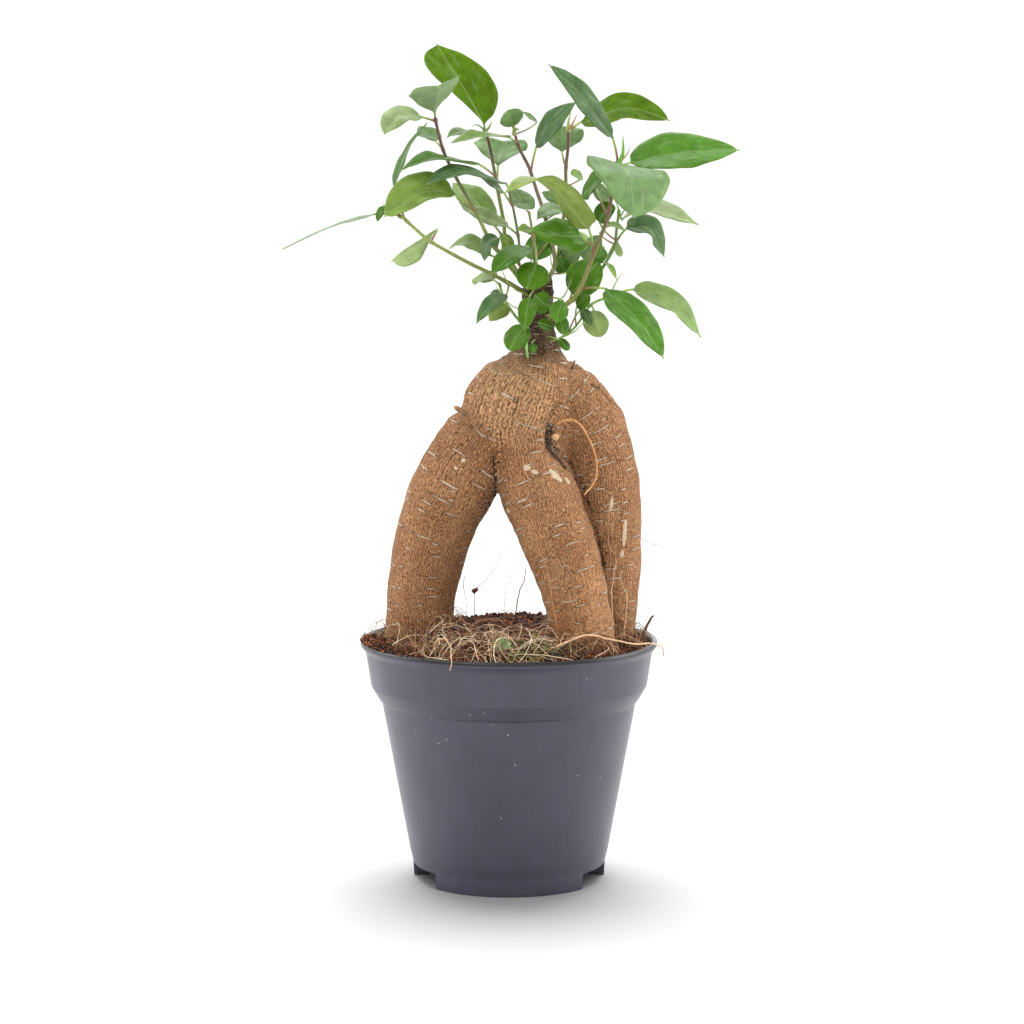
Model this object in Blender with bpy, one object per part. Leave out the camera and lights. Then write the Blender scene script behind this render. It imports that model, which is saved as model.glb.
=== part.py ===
"""A ginseng ficus bonsai standing in a plastic nursery pot, in metres, +Z up.

The origin is the centre of the pot's foot on the surface that it stands on, and -Y is the front. The plant is
a swollen rootstock whose three root legs go down into the soil, woody shoots that grow from its stump, and one
object for each leaf: the leaf's stalk and blade are one piece. Lengths below are in millimetres unless a name
says otherwise, and MM turns them into metres.
"""

import math

import bmesh
import bpy
from mathutils import Matrix, Vector, noise
from mathutils.bvhtree import BVHTree

MM = 0.001
GAP = 0.3  # between a piece and what carries it
REST_GAP = 0.5  # between a loose root and the uneven surface under it

# Nursery pot, as radius and height above the surface it stands on
RIM_RADIUS = 60.0
RIM_TOP = 97.6
BAND_TOP = (58.0, 93.0)
BAND_FOOT = (55.9, 79.2)
LEDGE_FOOT = (51.5, 72.6)
BASE_RADIUS = 38.7
WALL = 1.3
FLOOR_UNDERSIDE = 6.4
FLOOR_THICKNESS = 1.4
POT_SEGMENTS = 72
NOTCH_HEIGHT = 6.2
NOTCH_ANGLES = ((49.0, 87.5), (92.5, 131.0))  # degrees from the front, the same on both sides
SIDE_FOOT = (31.0, 38.3, 1.8)  # inner radius, outer radius, thickness
DRAIN_HOLES = 6
DRAIN_HOLE_RADIUS = 4.0
DRAIN_RING_RADIUS = 27.0

# Soil
SOIL_RIM_HEIGHT = 95.0
SOIL_CENTRE_HEIGHT = 103.0
SOIL_CROWN_POWER = 3.0
SOIL_LUMP = 1.0
SOIL_SEGMENTS = 48

# Rootstock: voxel size of the fused skin, and the share of its faces that is kept
BARK_VOXEL = 1.5
BARK_KEEP = 0.09

# Leaves
NECK_CENTRE = (12.0, -1.0)
NECK_RADIUS = 6.1
LEAF_THICKNESS = 0.5
STALK_WIDTH = 0.9
STALK_ROWS = 4
BLADE_ROWS = 7
PATH_STEPS = 3
FINE_STEPS = 60

# Each limb of the rootstock runs from its buried end upwards, as (x, y, z, radius).
LEFT_LEG = (
    (-35, -1, 84, 11.0),
    (-36, -1, 95, 13.4),
    (-36, -2, 109, 13.7),
    (-34, -3, 124, 14.3),
    (-31, -4, 138, 15.1),
    (-26, -4, 152, 15.9),
    (-19, -3, 166, 16.4),
    (-11, -1, 178, 16.6),
    (-2, 1, 190, 15.0),
    (5, 2, 200, 11.0),
)
FRONT_LEG = (
    (31, -21, 84, 10.5),
    (30, -22, 95, 12.4),
    (28, -21, 109, 12.9),
    (25, -20, 124, 13.3),
    (18, -17, 143, 14.6),
    (12, -13, 159, 14.8),
    (8, -8, 172, 15.0),
    (6, -3, 184, 16.0),
    (8, 0, 194, 14.0),
)
RIGHT_LEG = (
    (37, 14, 84, 10.0),
    (38, 14, 95, 12.6),
    (39, 13, 110, 13.5),
    (39, 12, 128, 14.7),
    (38, 11, 147, 15.5),
    (36, 9, 165, 16.1),
    (31, 7, 182, 15.8),
    (23, 4, 195, 14.2),
    (15, 2, 203, 10.5),
)
CROWN = (
    (3, 0, 170, 16.2),
    (2, 0, 182, 21.5),
    (5, 0, 193, 22.0),
    (8, 1, 203, 20.0),
    (10, 1, 209, 15.8),
    (11, 1, 214, 10.8),
    (12, 1, 219, 7.2),
    (12, 1, 224, 5.7),
    (12, 0, 230, 5.9),
    (12, -1, 238, 6.1),
    (12, -1, 243, 5.6),
)

# Shoots, from the stump to the tip: route, then the radius at each end.
STEMS = {
    "stem_a": (((9, -3, 236), (-5, -10, 244), (-15, -14, 249), (-24, -18, 254), (-32, -22, 259),
                (-42, -25, 268)), 0.75, 0.5),
    "stem_b": (((8, -2, 238), (-3, -5, 252), (-8, -7, 259), (-13, -8, 269), (-21, -9, 283), (-26, -10, 294),
                (-29, -11, 306)), 0.8, 0.5),
    "stem_c": (((8, 2, 238), (-1, 8, 253), (-2, 11, 264), (-4, 13, 275), (-6, 16, 286), (-8, 18, 296),
                (-10, 20, 302)), 0.7, 0.5),
    "stem_d": (((13, 1, 238), (18, 4, 247), (18, 6, 253), (16, 9, 260), (14, 13, 269), (11, 17, 278),
                (8, 21, 287), (4, 24, 295), (2, 26, 302)), 0.85, 0.5),
    "stem_e": (((13, 2, 238), (19, 12, 249), (21, 18, 260), (23, 22, 274), (23, 22, 286), (24, 22, 296),
                (24, 22, 303)), 0.8, 0.5),
    "stem_f": (((14, -2, 226), (23, -8, 233), (28, -12, 239), (31, -16, 247), (34, -20, 255), (38, -24, 266),
                (40, -27, 276), (42, -30, 289)), 1.0, 0.7),
    "stem_g": (((14, 0, 229), (26, 2, 234), (34, 3, 240), (37, 4, 246), (42, 5, 255), (43, 5, 262), (44, 5, 270)),
               0.6, 0.5),
    "stem_h": (((14, 2, 215), (24, 5, 221), (28, 6, 225), (33, 8, 232), (40, 10, 235)), 0.5, 0.4),
    "stem_i": (((9, -1, 220), (1, -3, 230), (-2, 0, 235), (-4, 3, 241)), 0.6, 0.4),
    "stem_j": (((8, -5, 209), (7, -14, 215), (7, -15, 220), (7, -15, 225)), 0.5, 0.4),
    "stem_k": (((11, 0, 238), (10, 2, 253), (9, 4, 263), (8, 6, 269)), 0.6, 0.4),
    "stem_l": (((9, 2, 238), (4, 8, 249), (4, 8, 257), (2, 9, 269), (0, 8, 278)), 0.6, 0.4),
}

# Leaves: name, the stem that carries it, the height at which it leaves that stem, its midrib from the blade's
# base to its tip, its width, the way its upper side faces, how far its halves fold up (degrees), and how far
# its base is twisted against its tip (degrees).
NECK = "rootstock"
LEAVES = (
    ("leaf_c_tip", "stem_c", 302, ((-10.0, 19, 304), (-19.0, 17, 320), (-29.0, 12, 336.5)), 21.5,
     (0.25, 0.9, 0.3), 8, 0),
    ("leaf_b_tip", "stem_b", 306, ((-29, -13, 308), (-28, -26, 314), (-27, -38, 318)), 22,
     (-0.35, 0.35, 0.85), 14, 0),
    ("leaf_b_side", "stem_b", 305, ((-34.4, -14, 306.4), (-43.2, -19, 306.6), (-48.5, -24, 299.2)), 13,
     (-0.1, -0.6, 0.8), 8, 0),
    ("leaf_a_upright", "stem_a", 266, ((-45, -18, 279), (-41, -14, 292), (-32, -11, 304)), 11,
     (-0.85, -0.28, 0.4), 6, 0),
    ("leaf_c_arched", "stem_c", 283, ((-8, 4, 287), (-24.5, -20, 291.5), (-40.5, -28, 286.5)), 12.5,
     (0, -0.35, 0.93), 10, 0),
    ("leaf_l_arched", "stem_l", 277, ((-1.2, 2, 280.5), (-19.1, -19, 284.3), (-32.0, -31, 280.5)), 13,
     (0, -0.5, 0.85), 10, 0),
    ("leaf_b_large", "stem_b", 269, ((-21.2, -15, 276.5), (-34.6, -26, 276.4), (-48.2, -34, 268.1)), 15,
     (-0.15, -0.8, 0.5), 6, 0),
    ("leaf_c_pale", "stem_c", 259, ((-7, 12, 265), (-15, 20, 275), (-23, 26, 281)), 15, (0.5, -0.75, 0.4), 6,
     0),
    ("leaf_l_silver", "stem_l", 260, ((0, 1, 263), (-11, 1, 268), (-20, 3, 273)), 12, (0.25, -0.45, 0.85), 8,
     0),
    ("leaf_a_tip", "stem_a", 268, ((-51.6, -28, 268.8), (-68.1, -26, 264.5), (-88.7, -22, 254.7)), 9,
     (-0.05, -0.15, 0.98), 10, 0),
    ("leaf_a_lower", "stem_a", 258, ((-28.4, -12, 262.7), (-35.8, -13, 256.8), (-46.5, -14, 249.8)), 12,
     (-0.4, -0.7, 0.55), 8, 0),
    ("leaf_b_lower", "stem_b", 250, ((-7, -3, 252), (-16, -2, 257), (-24, 0, 255)), 12, (0, -0.4, 0.9), 8, 0),
    ("leaf_b_hanging", "stem_b", 255, ((-4, -11, 259), (-8, -12, 257), (-10, -12, 250)), 8, (-0.6, -0.7, 0.3),
     8, 0),
    ("leaf_l_front", "stem_l", 255, ((8.0, -6, 255.5), (0.0, -17, 251.5), (-7.0, -24, 245.5)), 12,
     (-0.15, -0.65, 0.75), 6, 0),
    ("leaf_k_front", "stem_k", 261, ((11.0, -10, 249), (9.0, -14, 244), (7.0, -16, 239)), 13,
     (0, -0.95, 0.25), 4, 0),
    ("leaf_f_centre", "stem_f", 255, ((28.0, -24, 260), (19.0, -29, 261), (8.0, -34, 262)), 19,
     (0.05, -0.68, 0.73), 6, 0),
    ("leaf_e_inner", "stem_e", 269, ((25, 14, 268), (18, 8, 270), (11, 2, 266)), 12, (0, -0.5, 0.85), 6, 0),
    ("leaf_f_arched", "stem_f", 253, ((31, -29, 263), (14, -38, 281), (-2, -44, 277)), 21,
     (-0.1, -0.72, 0.65), 8, 110),
    ("leaf_d_tip", "stem_d", 302, ((1.6, 24, 303.2), (0.8, 22, 306.4), (-0.4, 20, 309.9)), 11,
     (0.1, -0.97, 0.2), 6, 0),
    ("leaf_d_level", "stem_d", 296, ((0, 19, 299), (-12, 4, 299), (-23, -3, 297)), 14, (0, -0.25, 0.97), 8, 0),
    ("leaf_d_rising", "stem_d", 285, ((11, 18, 295), (18, 10, 305), (27, 3, 313)), 12, (-0.5, -0.72, 0.4), 8,
     0),
    ("leaf_e_back", "stem_e", 287, ((21.5, 28, 293.2), (22, 31, 297.7), (23.3, 36, 303.4)), 16,
     (0, -0.75, 0.65), 4, 0),
    ("leaf_f_narrow", "stem_f", 289, ((40.0, -33, 298), (28.0, -38, 313.5), (15.0, -42, 325.5)), 12,
     (0.5, -0.7, 0.45), 8, 0),
    ("leaf_e_tip", "stem_e", 302, ((29, 24, 305), (47, 31, 311), (66, 38, 306)), 16, (0, 0.72, 0.7), 6, 0),
    ("leaf_f_right", "stem_f", 287, ((47.0, -26, 288.5), (67.0, -16, 292), (91.0, -10, 294)), 20,
     (-0.05, -0.75, 0.65), 6, 0),
    ("leaf_f_broad", "stem_f", 286, ((43, -36, 288), (46, -51, 281), (48, -60, 268)), 31, (0.3, -0.5, 0.8), 4,
     0),
    ("leaf_g_tip", "stem_g", 269, ((45.1, 3, 266), (57.5, -4, 270.4), (75.1, -8, 264.6)), 19,
     (0, -0.32, 0.95), 8, 0),
    ("leaf_g_side", "stem_g", 255, ((46.9, 8, 262.4), (56.6, 10, 261.9), (62.5, 14, 251)), 16,
     (0.15, -0.55, 0.8), 8, 0),
    ("leaf_f_round", "stem_f", 234, ((25.0, -2, 236.8), (30.0, -4, 243.8), (36.0, -3, 249.8)), 15.5,
     (-0.3, -0.9, 0.3), 4, 0),
    ("leaf_f_low", "stem_f", 239, ((38.0, -20, 239.5), (49.0, -29, 229), (60.0, -38, 213)), 17,
     (0.45, -0.72, 0.55), 6, 0),
    ("leaf_h_tip", "stem_h", 235, ((50.0, 14, 238), (66.0, 22, 231), (79.0, 28, 218)), 17,
     (0.25, -0.62, 0.75), 8, 0),
    ("leaf_a_base", "stem_a", 241, ((-1, -12, 237), (-7, -17, 233), (-13, -22, 226)), 9, (-0.4, -0.7, 0.6), 8,
     0),
    ("leaf_i_tip", "stem_i", 240, ((-6, 6, 242), (-10, 10, 243), (-15, 15, 242)), 10, (0.1, -0.7, 0.7), 4, 0),
    ("leaf_neck_narrow", NECK, 240, ((8.0, -17, 236), (7.0, -19, 230.5), (6.0, -21, 223)), 7.5,
     (0.1, -0.97, 0.2), 6, 0),
    ("leaf_neck_round", NECK, 233, ((16.0, -12, 232), (13.0, -14, 234), (10.0, -15, 237)), 9, (0, -0.95, 0.3),
     4, 0),
    ("leaf_neck_bright", NECK, 235, ((20.4, -16, 236), (18.6, -18, 231.4), (17.8, -20, 227.2)), 8,
     (0.2, -0.93, 0.3), 6, 0),
    ("leaf_j_tip", "stem_j", 224, ((6, -17, 225), (3, -18, 220), (0, -19, 215)), 10.5, (-0.3, -0.9, 0.35), 4,
     0),
    ("leaf_h_low", "stem_h", 232, ((34, 4, 230), (35, 6, 224), (37, 8, 219)), 10.5, (0.1, 0.9, 0.4), 4, 0),
    ("leaf_f_behind", "stem_f", 279, ((37.0, -22, 282), (33.0, -16, 280), (28.0, -10, 275)), 13,
     (-0.35, -0.75, 0.55), 6, 0),
    ("leaf_c_broad", "stem_c", 280, ((-4.5, 22, 287.5), (-3.7, 30, 292.4), (-2.5, 38, 297.8)), 24,
     (0, -0.75, 0.65), 4, 0),
    ("leaf_b_back", "stem_b", 294, ((-29, -4, 297), (-32, 1, 300), (-36, 5, 303)), 10, (0.35, -0.75, 0.55), 6,
     0),
    ("leaf_k_tip", "stem_k", 269, ((7, 11, 270), (5, 17, 274), (2, 22, 278)), 11, (0.3, -0.8, 0.5), 4, 0),
    ("leaf_e_far", "stem_e", 259, ((27, 26, 256), (33, 34, 257), (39, 42, 254)), 13, (0.1, -0.5, 0.85), 6, 0),
)

# A loose dry root that comes out of the soil and runs over the pot's rim; its first point is its place on the soil
LOOSE_ROOT_RADIUS = 0.45
LOOSE_ROOT_START = (14, -45)
LOOSE_ROOT = ((20, -44, 102), (30, -42, 105.5), (41, -35, 102.5), (50, -27, 99.6), (56, -19, 98.6),
              (61.2, -12, 96), (62.2, -10, 92))

# A thin aerial root that lies against the right leg
AERIAL_ROOT = ((19, -18, 186), (23, -20, 188), (28, -20, 186), (33, -15, 177), (35, -13, 169), (34, -14, 163),
               (30, -19, 158))
AERIAL_ROOT_RADIUS = 0.6


def clear_scene():
    for found in list(bpy.data.objects):
        bpy.data.objects.remove(found, do_unlink=True)


def material(name, colour, roughness):
    """A Principled material of this linear colour."""
    made = bpy.data.materials.new(name)
    made.use_nodes = True
    surface = made.node_tree.nodes["Principled BSDF"]
    surface.inputs["Base Color"].default_value = (*colour, 1)
    surface.inputs["Roughness"].default_value = roughness
    surface.inputs["Metallic"].default_value = 0.0
    return made


def add_object(name, data, surface):
    made = bpy.data.objects.new(name, data)
    made.data.materials.append(surface)
    bpy.context.collection.objects.link(made)
    return made


def object_from(name, mesh, surface, smooth=True):
    """An object made from this bmesh, which it uses up."""
    data = bpy.data.meshes.new(name)
    mesh.normal_update()
    mesh.to_mesh(data)
    mesh.free()
    if smooth:
        data.shade_smooth()
    return add_object(name, data, surface)


def helper(made):
    """Marks an object as a cutter, which is no part of the model."""
    made.hide_render = True
    made.display_type = "WIRE"
    return made


def modifier(made, kind, **settings):
    added = made.modifiers.new(kind.title(), kind)
    for key, value in settings.items():
        setattr(added, key, value)
    return added


def smooth_path(points, steps=PATH_STEPS):
    """Points on a Catmull-Rom curve through these ones. Each may hold a radius as its last number."""
    rows = [tuple(map(float, p)) for p in points]
    rows = [rows[0], *rows, rows[-1]]
    out = []
    for a, b, c, d in zip(rows, rows[1:], rows[2:], rows[3:]):
        for k in range(steps):
            t = k / steps
            out.append(tuple(
                0.5 * (2 * q + (r - p) * t + (2 * p - 5 * q + 4 * r - s) * t ** 2
                       + (3 * q - p - 3 * r + s) * t ** 3)
                for p, q, r, s in zip(a, b, c, d)
            ))
    out.append(rows[-1])
    return out


def evaluated_tree(made):
    """A search tree of the object's surface as its modifiers leave it, in millimetres."""
    graph = bpy.context.evaluated_depsgraph_get()
    shape = made.evaluated_get(graph)
    mesh = shape.to_mesh()
    points = [shape.matrix_world @ v.co / MM for v in mesh.vertices]
    faces = [tuple(f.vertices) for f in mesh.polygons]
    shape.to_mesh_clear()
    return BVHTree.FromPolygons(points, faces)


def ring_round(point, along, radius, sides=8):
    """Points on a circle of this radius round a route that runs this way."""
    across = along.orthogonal().normalized()
    ahead = along.cross(across).normalized()
    angles = [2 * math.pi * k / sides for k in range(sides)]
    return [point + (across * math.cos(a) + ahead * math.sin(a)) * radius for a in angles]


def outside(tree, point):
    """Whether the point lies outside the surface by at least GAP."""
    found, normal, _, gap = tree.find_nearest(point)
    return gap >= GAP and (point - found).dot(normal) > 0


def trimmed(route, tree, radius):
    """The part of the route that a rod of this radius can take without touching the surface it grows from."""
    fine = [Vector(p) for p in smooth_path(route, FINE_STEPS)]
    clear = [
        all(outside(tree, q) for q in ring_round(a, (b - a).normalized(), radius)) for a, b in zip(fine, fine[1:])
    ]
    start = len(clear) - clear[::-1].index(False)
    later = [Vector(p) for k, p in enumerate(route) if k * FINE_STEPS > start + FINE_STEPS / 3]
    return [fine[start], *later]


# Pot -----------------------------------------------------------------------------------------------------


def spun(profile, segments):
    """A solid turned about Z from a profile that starts and ends on the axis."""
    mesh = bmesh.new()
    points = [mesh.verts.new((r * MM, 0, z * MM)) for r, z in profile]
    edges = [mesh.edges.new(pair) for pair in zip(points, points[1:])]
    bmesh.ops.spin(mesh, geom=points + edges, cent=(0, 0, 0), axis=(0, 0, 1), dvec=(0, 0, 0),
                   angle=2 * math.pi, steps=segments, use_merge=True)
    bmesh.ops.remove_doubles(mesh, verts=mesh.verts, dist=1e-6)
    bmesh.ops.recalc_face_normals(mesh, faces=mesh.faces)
    return mesh


def pot_profile():
    """The pot's section from the underside's centre, up the outer wall, over the lip and back to the floor."""
    lip = ((RIM_RADIUS - 0.6, 95.0), (RIM_RADIUS, 95.6), (RIM_RADIUS, RIM_TOP - 0.6), (RIM_RADIUS - 0.6, RIM_TOP))
    outside = ((BASE_RADIUS, 0), LEDGE_FOOT, (LEDGE_FOOT[0] + 1.0, LEDGE_FOOT[1] + 0.8), BAND_FOOT, BAND_TOP, *lip)
    inner_lip = ((BAND_TOP[0] + 0.2, RIM_TOP), (BAND_TOP[0] - 0.6, RIM_TOP - 1.0))
    inside = [(r - WALL, z) for r, z in (BAND_TOP, BAND_FOOT, LEDGE_FOOT)]
    floor_top = FLOOR_UNDERSIDE + FLOOR_THICKNESS
    floor = ((BASE_RADIUS - 0.2, floor_top), (0, floor_top))
    under = ((0, FLOOR_UNDERSIDE), (BASE_RADIUS - WALL - 0.2, FLOOR_UNDERSIDE), (BASE_RADIUS - WALL, 0))
    return [*under, *outside, *inner_lip, *inside, *floor]


def notch_cutter(start, end, side):
    """A block that opens the pot's skirt between two angles from the front."""
    mesh = bmesh.new()
    bmesh.ops.create_cube(mesh, size=1)
    reach = ((BASE_RADIUS - 4) * MM, (BASE_RADIUS + 4) * MM)
    for v in mesh.verts:
        angle = math.radians(end if v.co.y > 0 else start) * side
        radius = reach[v.co.x > 0]
        v.co = (radius * math.sin(angle), -radius * math.cos(angle), (NOTCH_HEIGHT if v.co.z > 0 else -1) * MM)
    bmesh.ops.recalc_face_normals(mesh, faces=mesh.faces)
    return mesh


def side_foot(side):
    """A narrow upright rib under the floor, between the two notches on this side."""
    inner, outer, thickness = SIDE_FOOT
    mesh = bmesh.new()
    bmesh.ops.create_cube(mesh, size=1)
    top = FLOOR_UNDERSIDE + 0.5
    size = ((outer - inner) * MM, thickness * MM, top * MM)
    place = (side * (inner + outer) / 2 * MM, 0, top / 2 * MM)
    bmesh.ops.transform(mesh, verts=mesh.verts, matrix=Matrix.Translation(place) @ Matrix.Diagonal((*size, 1)))
    return mesh


def build_pot(surface):
    pot = object_from("pot", spun(pot_profile(), POT_SEGMENTS), surface)
    pot.data.set_sharp_from_angle(angle=math.radians(35))
    for side in (-1, 1):
        foot = helper(object_from(f"foot_{side}", side_foot(side), surface, smooth=False))
        modifier(pot, "BOOLEAN", object=foot, operation="UNION")
        for start, end in NOTCH_ANGLES:
            block = notch_cutter(start, end, side)
            cutter = helper(object_from(f"notch_{side}_{start}", block, surface, smooth=False))
            modifier(pot, "BOOLEAN", object=cutter, operation="DIFFERENCE")
    for k in range(DRAIN_HOLES):
        angle = 2 * math.pi * k / DRAIN_HOLES
        mesh = bmesh.new()
        bmesh.ops.create_cone(mesh, cap_ends=True, segments=16, radius1=DRAIN_HOLE_RADIUS * MM,
                              radius2=DRAIN_HOLE_RADIUS * MM, depth=4 * FLOOR_THICKNESS * MM)
        place = Vector((DRAIN_RING_RADIUS * math.sin(angle), -DRAIN_RING_RADIUS * math.cos(angle),
                        FLOOR_UNDERSIDE + FLOOR_THICKNESS / 2)) * MM
        bmesh.ops.translate(mesh, verts=mesh.verts, vec=place)
        cutter = helper(object_from(f"drain_{k}", mesh, surface, smooth=False))
        modifier(pot, "BOOLEAN", object=cutter, operation="DIFFERENCE")
    return pot


# Rootstock and soil --------------------------------------------------------------------------------------


def add_limb(mesh, limb, sides=24):
    """Adds a closed tapered tube with rounded ends to the mesh."""
    path = smooth_path(limb)
    points = [Vector(p[:3]) for p in path]
    radii = [p[3] for p in path]
    rings = []
    for i, (centre, radius) in enumerate(zip(points, radii)):
        along = (points[min(i + 1, len(points) - 1)] - points[max(i - 1, 0)]).normalized()
        across = Vector((1, 0, 0)).cross(along).normalized()
        ahead = along.cross(across)
        shells = [(0.0, 1.0)]  # rings here, as the lift along the limb and the share of the radius
        if i == 0:
            shells = [(-0.5, 0.4), (-0.35, 0.75), (0.0, 1.0)]
        if i == len(points) - 1:
            shells = [(0.0, 1.0), (0.15, 0.8), (0.2, 0.4)]
        for lift, scale in shells:
            ring = []
            for k in range(sides):
                angle = 2 * math.pi * k / sides
                spoke = (across * math.cos(angle) + ahead * math.sin(angle)) * radius * scale
                ring.append(mesh.verts.new((centre + spoke + along * lift * radius) * MM))
            rings.append(ring)
    for a, b in zip(rings, rings[1:]):
        for k in range(sides):
            mesh.faces.new((a[k - 1], a[k], b[k], b[k - 1]))
    mesh.faces.new(reversed(rings[0]))
    mesh.faces.new(rings[-1])


def fused_limbs(name, surface, grow=0.0):
    """The limbs grown into one skin, which may be made larger by this much all round."""
    mesh = bmesh.new()
    for limb in (LEFT_LEG, FRONT_LEG, RIGHT_LEG, CROWN):
        add_limb(mesh, limb)
    bmesh.ops.recalc_face_normals(mesh, faces=mesh.faces)
    made = object_from(name, mesh, surface)
    modifier(made, "REMESH", mode="VOXEL", voxel_size=BARK_VOXEL * MM, use_smooth_shade=True)
    modifier(made, "SMOOTH", factor=0.5, iterations=4)
    modifier(made, "DECIMATE", ratio=BARK_KEEP)
    if grow:
        modifier(made, "DISPLACE", strength=grow * MM, mid_level=0.0)
    return made


def soil_height(x, y):
    """Height of the soil's lumpy surface."""
    share = min(1.0, math.hypot(x, y) / BAND_TOP[0])
    lump = SOIL_LUMP * noise.noise(Vector((x / 7, y / 7, 3.1))) * (1 - share ** 6)
    return SOIL_CENTRE_HEIGHT + (SOIL_RIM_HEIGHT - SOIL_CENTRE_HEIGHT) * share ** SOIL_CROWN_POWER + lump


def build_soil(surface, roots):
    """Fills the pot up to the lumpy surface, with a socket for each root leg."""
    wall = [(r - WALL - GAP, z) for r, z in (BAND_FOOT, LEDGE_FOOT)]
    floor = FLOOR_UNDERSIDE + FLOOR_THICKNESS + GAP
    edge = BAND_TOP[0] - WALL - GAP
    top = [(edge * share, 0) for share in (0.15, 0.3, 0.45, 0.6, 0.74, 0.87)]
    profile = [(0, floor), (BASE_RADIUS - 0.8, floor), wall[1], wall[0], (edge, SOIL_RIM_HEIGHT)]
    profile += [(r, SOIL_RIM_HEIGHT + 1) for r, _ in reversed(top)]
    profile.append((0, SOIL_RIM_HEIGHT + 1))
    mesh = spun(profile, SOIL_SEGMENTS)
    for v in mesh.verts:
        if v.co.z > (SOIL_RIM_HEIGHT + 0.5) * MM:
            v.co.z = soil_height(v.co.x / MM, v.co.y / MM) * MM
    bmesh.ops.triangulate(mesh, faces=mesh.faces)
    soil = object_from("soil", mesh, surface)
    modifier(soil, "BOOLEAN", object=roots, operation="DIFFERENCE")
    return soil


# Shoots and leaves ---------------------------------------------------------------------------------------


def rod(name, route, start_radius, end_radius, surface):
    """A tapered rod: a curve with a round bevel and closed ends."""
    path = smooth_path(route)
    data = bpy.data.curves.new(name, "CURVE")
    data.dimensions = "3D"
    data.bevel_depth = start_radius * MM
    data.bevel_resolution = 1
    data.use_fill_caps = True
    spline = data.splines.new("POLY")
    spline.points.add(len(path) - 1)
    for i, p in enumerate(path):
        share = i / (len(path) - 1)
        spline.points[i].co = (*(Vector(p[:3]) * MM), 1)
        spline.points[i].radius = 1 + (end_radius / start_radius - 1) * share
    spline.use_smooth = True
    return add_object(name, data, surface)


def build_stems(surface, bark):
    """Adds the shoots and returns each one's axis, as its points with their radius."""
    axes = {}
    for name, (route, start_radius, end_radius) in STEMS.items():
        kept = trimmed(route, bark, start_radius)
        rod(name, kept, start_radius, end_radius, surface)
        path = [Vector(p) for p in smooth_path(kept, 12)]
        step = (end_radius - start_radius) / (len(path) - 1)
        axes[name] = [(p, start_radius + step * i) for i, p in enumerate(path[:-1])]
        axes[name].append((path[-1], 0.2))  # the flat end lets a stalk start close to it
    return axes


def blade_share(u):
    """The half width at the share u of the blade: 0 at its base, 1 at its widest and 0 at its tip."""
    peak = 0.46
    return (u / peak) ** 0.62 * ((1 - u) / (1 - peak)) ** 0.73


def stem_near(stem, height, axes):
    """The stem's axis as points with the radius there, and the point where a stalk leaves at this height."""
    if stem == NECK:
        foot = Vector((NECK_CENTRE[0], NECK_CENTRE[1], height))
        return [(foot, NECK_RADIUS)], foot
    return axes[stem], min(axes[stem], key=lambda entry: abs(entry[0].z - height))[0]


def stalk_points(leaf, axes):
    """The stalk's route, from just outside its stem to the blade's base."""
    _, stem, height, rib = leaf[:4]
    axis, root = stem_near(stem, height, axes)
    base = Vector(rib[0])
    along_blade = (Vector(rib[1]) - base).normalized()
    bend = root.lerp(base, 0.6) - along_blade * (base - root).length * 0.12
    shares = [k / FINE_STEPS for k in range(FINE_STEPS + 1)]
    curve = [root * (1 - t) ** 2 + bend * 2 * t * (1 - t) + base * t * t for t in shares]
    reach = STALK_WIDTH * 0.4 + GAP
    touching = [k for k, p in enumerate(curve) if any((p - q).length < radius + reach for q, radius in axis)]
    start = max(touching) + 1
    rest = FINE_STEPS - start
    return [curve[start + round(rest * k / STALK_ROWS)] for k in range(STALK_ROWS)]


def leaf_rows(leaf, axes):
    """Rows of the leaf's middle surface from its foot to its tip: centre, half width, side and upward vectors."""
    _, _, _, rib, width, face, _, twist = leaf
    face = Vector(face)
    rows = [(point, STALK_WIDTH / 2) for point in stalk_points(leaf, axes)]
    fine = [Vector(p) for p in smooth_path(rib, FINE_STEPS)]
    last = len(fine) - 1
    for k in range(BLADE_ROWS + 1):
        u = k / BLADE_ROWS
        rows.append((fine[round(u * last)], max(STALK_WIDTH / 2, width / 2 * blade_share(u))))
    framed = []
    for i, (point, half) in enumerate(rows):
        along = (rows[min(i + 1, len(rows) - 1)][0] - rows[max(i - 1, 0)][0]).normalized()
        turned = Matrix.Rotation(math.radians(twist * (1 - max(0, i - STALK_ROWS) / BLADE_ROWS)), 3, along) @ face
        side = along.cross(turned).normalized()
        framed.append((point, half, side, side.cross(along)))
    return framed


def build_leaf(leaf, axes, surface):
    """One leaf: a grid laid on the rows of its stalk and its folded blade, and given its thickness."""
    rows = leaf_rows(leaf, axes)
    fold = math.radians(leaf[6])
    mesh = bmesh.new()
    bmesh.ops.create_grid(mesh, x_segments=2, y_segments=len(rows) - 1, size=1)
    for v in mesh.verts:
        row = round((v.co.y + 1) / 2 * (len(rows) - 1))
        across = round(v.co.x)
        point, half, side, up = rows[row]
        if row == len(rows) - 1:
            half = 0
        blade = row > STALK_ROWS
        lift = abs(across) * half * math.sin(fold) * blade
        v.co = (point + side * across * half * (math.cos(fold) if blade else 1) + up * lift) * MM
    bmesh.ops.remove_doubles(mesh, verts=mesh.verts, dist=1e-6)
    made = object_from(leaf[0], mesh, surface)
    modifier(made, "SOLIDIFY", thickness=LEAF_THICKNESS * MM, offset=0.0)
    return made


def lay_on(route, tree, radius):
    """Moves each point of a route to just outside the surface that it lies on."""
    laid = []
    for p in smooth_path(route):
        found, normal, _, _ = tree.find_nearest(Vector(p))
        laid.append(found + normal * (radius + REST_GAP))
    return laid


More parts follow.
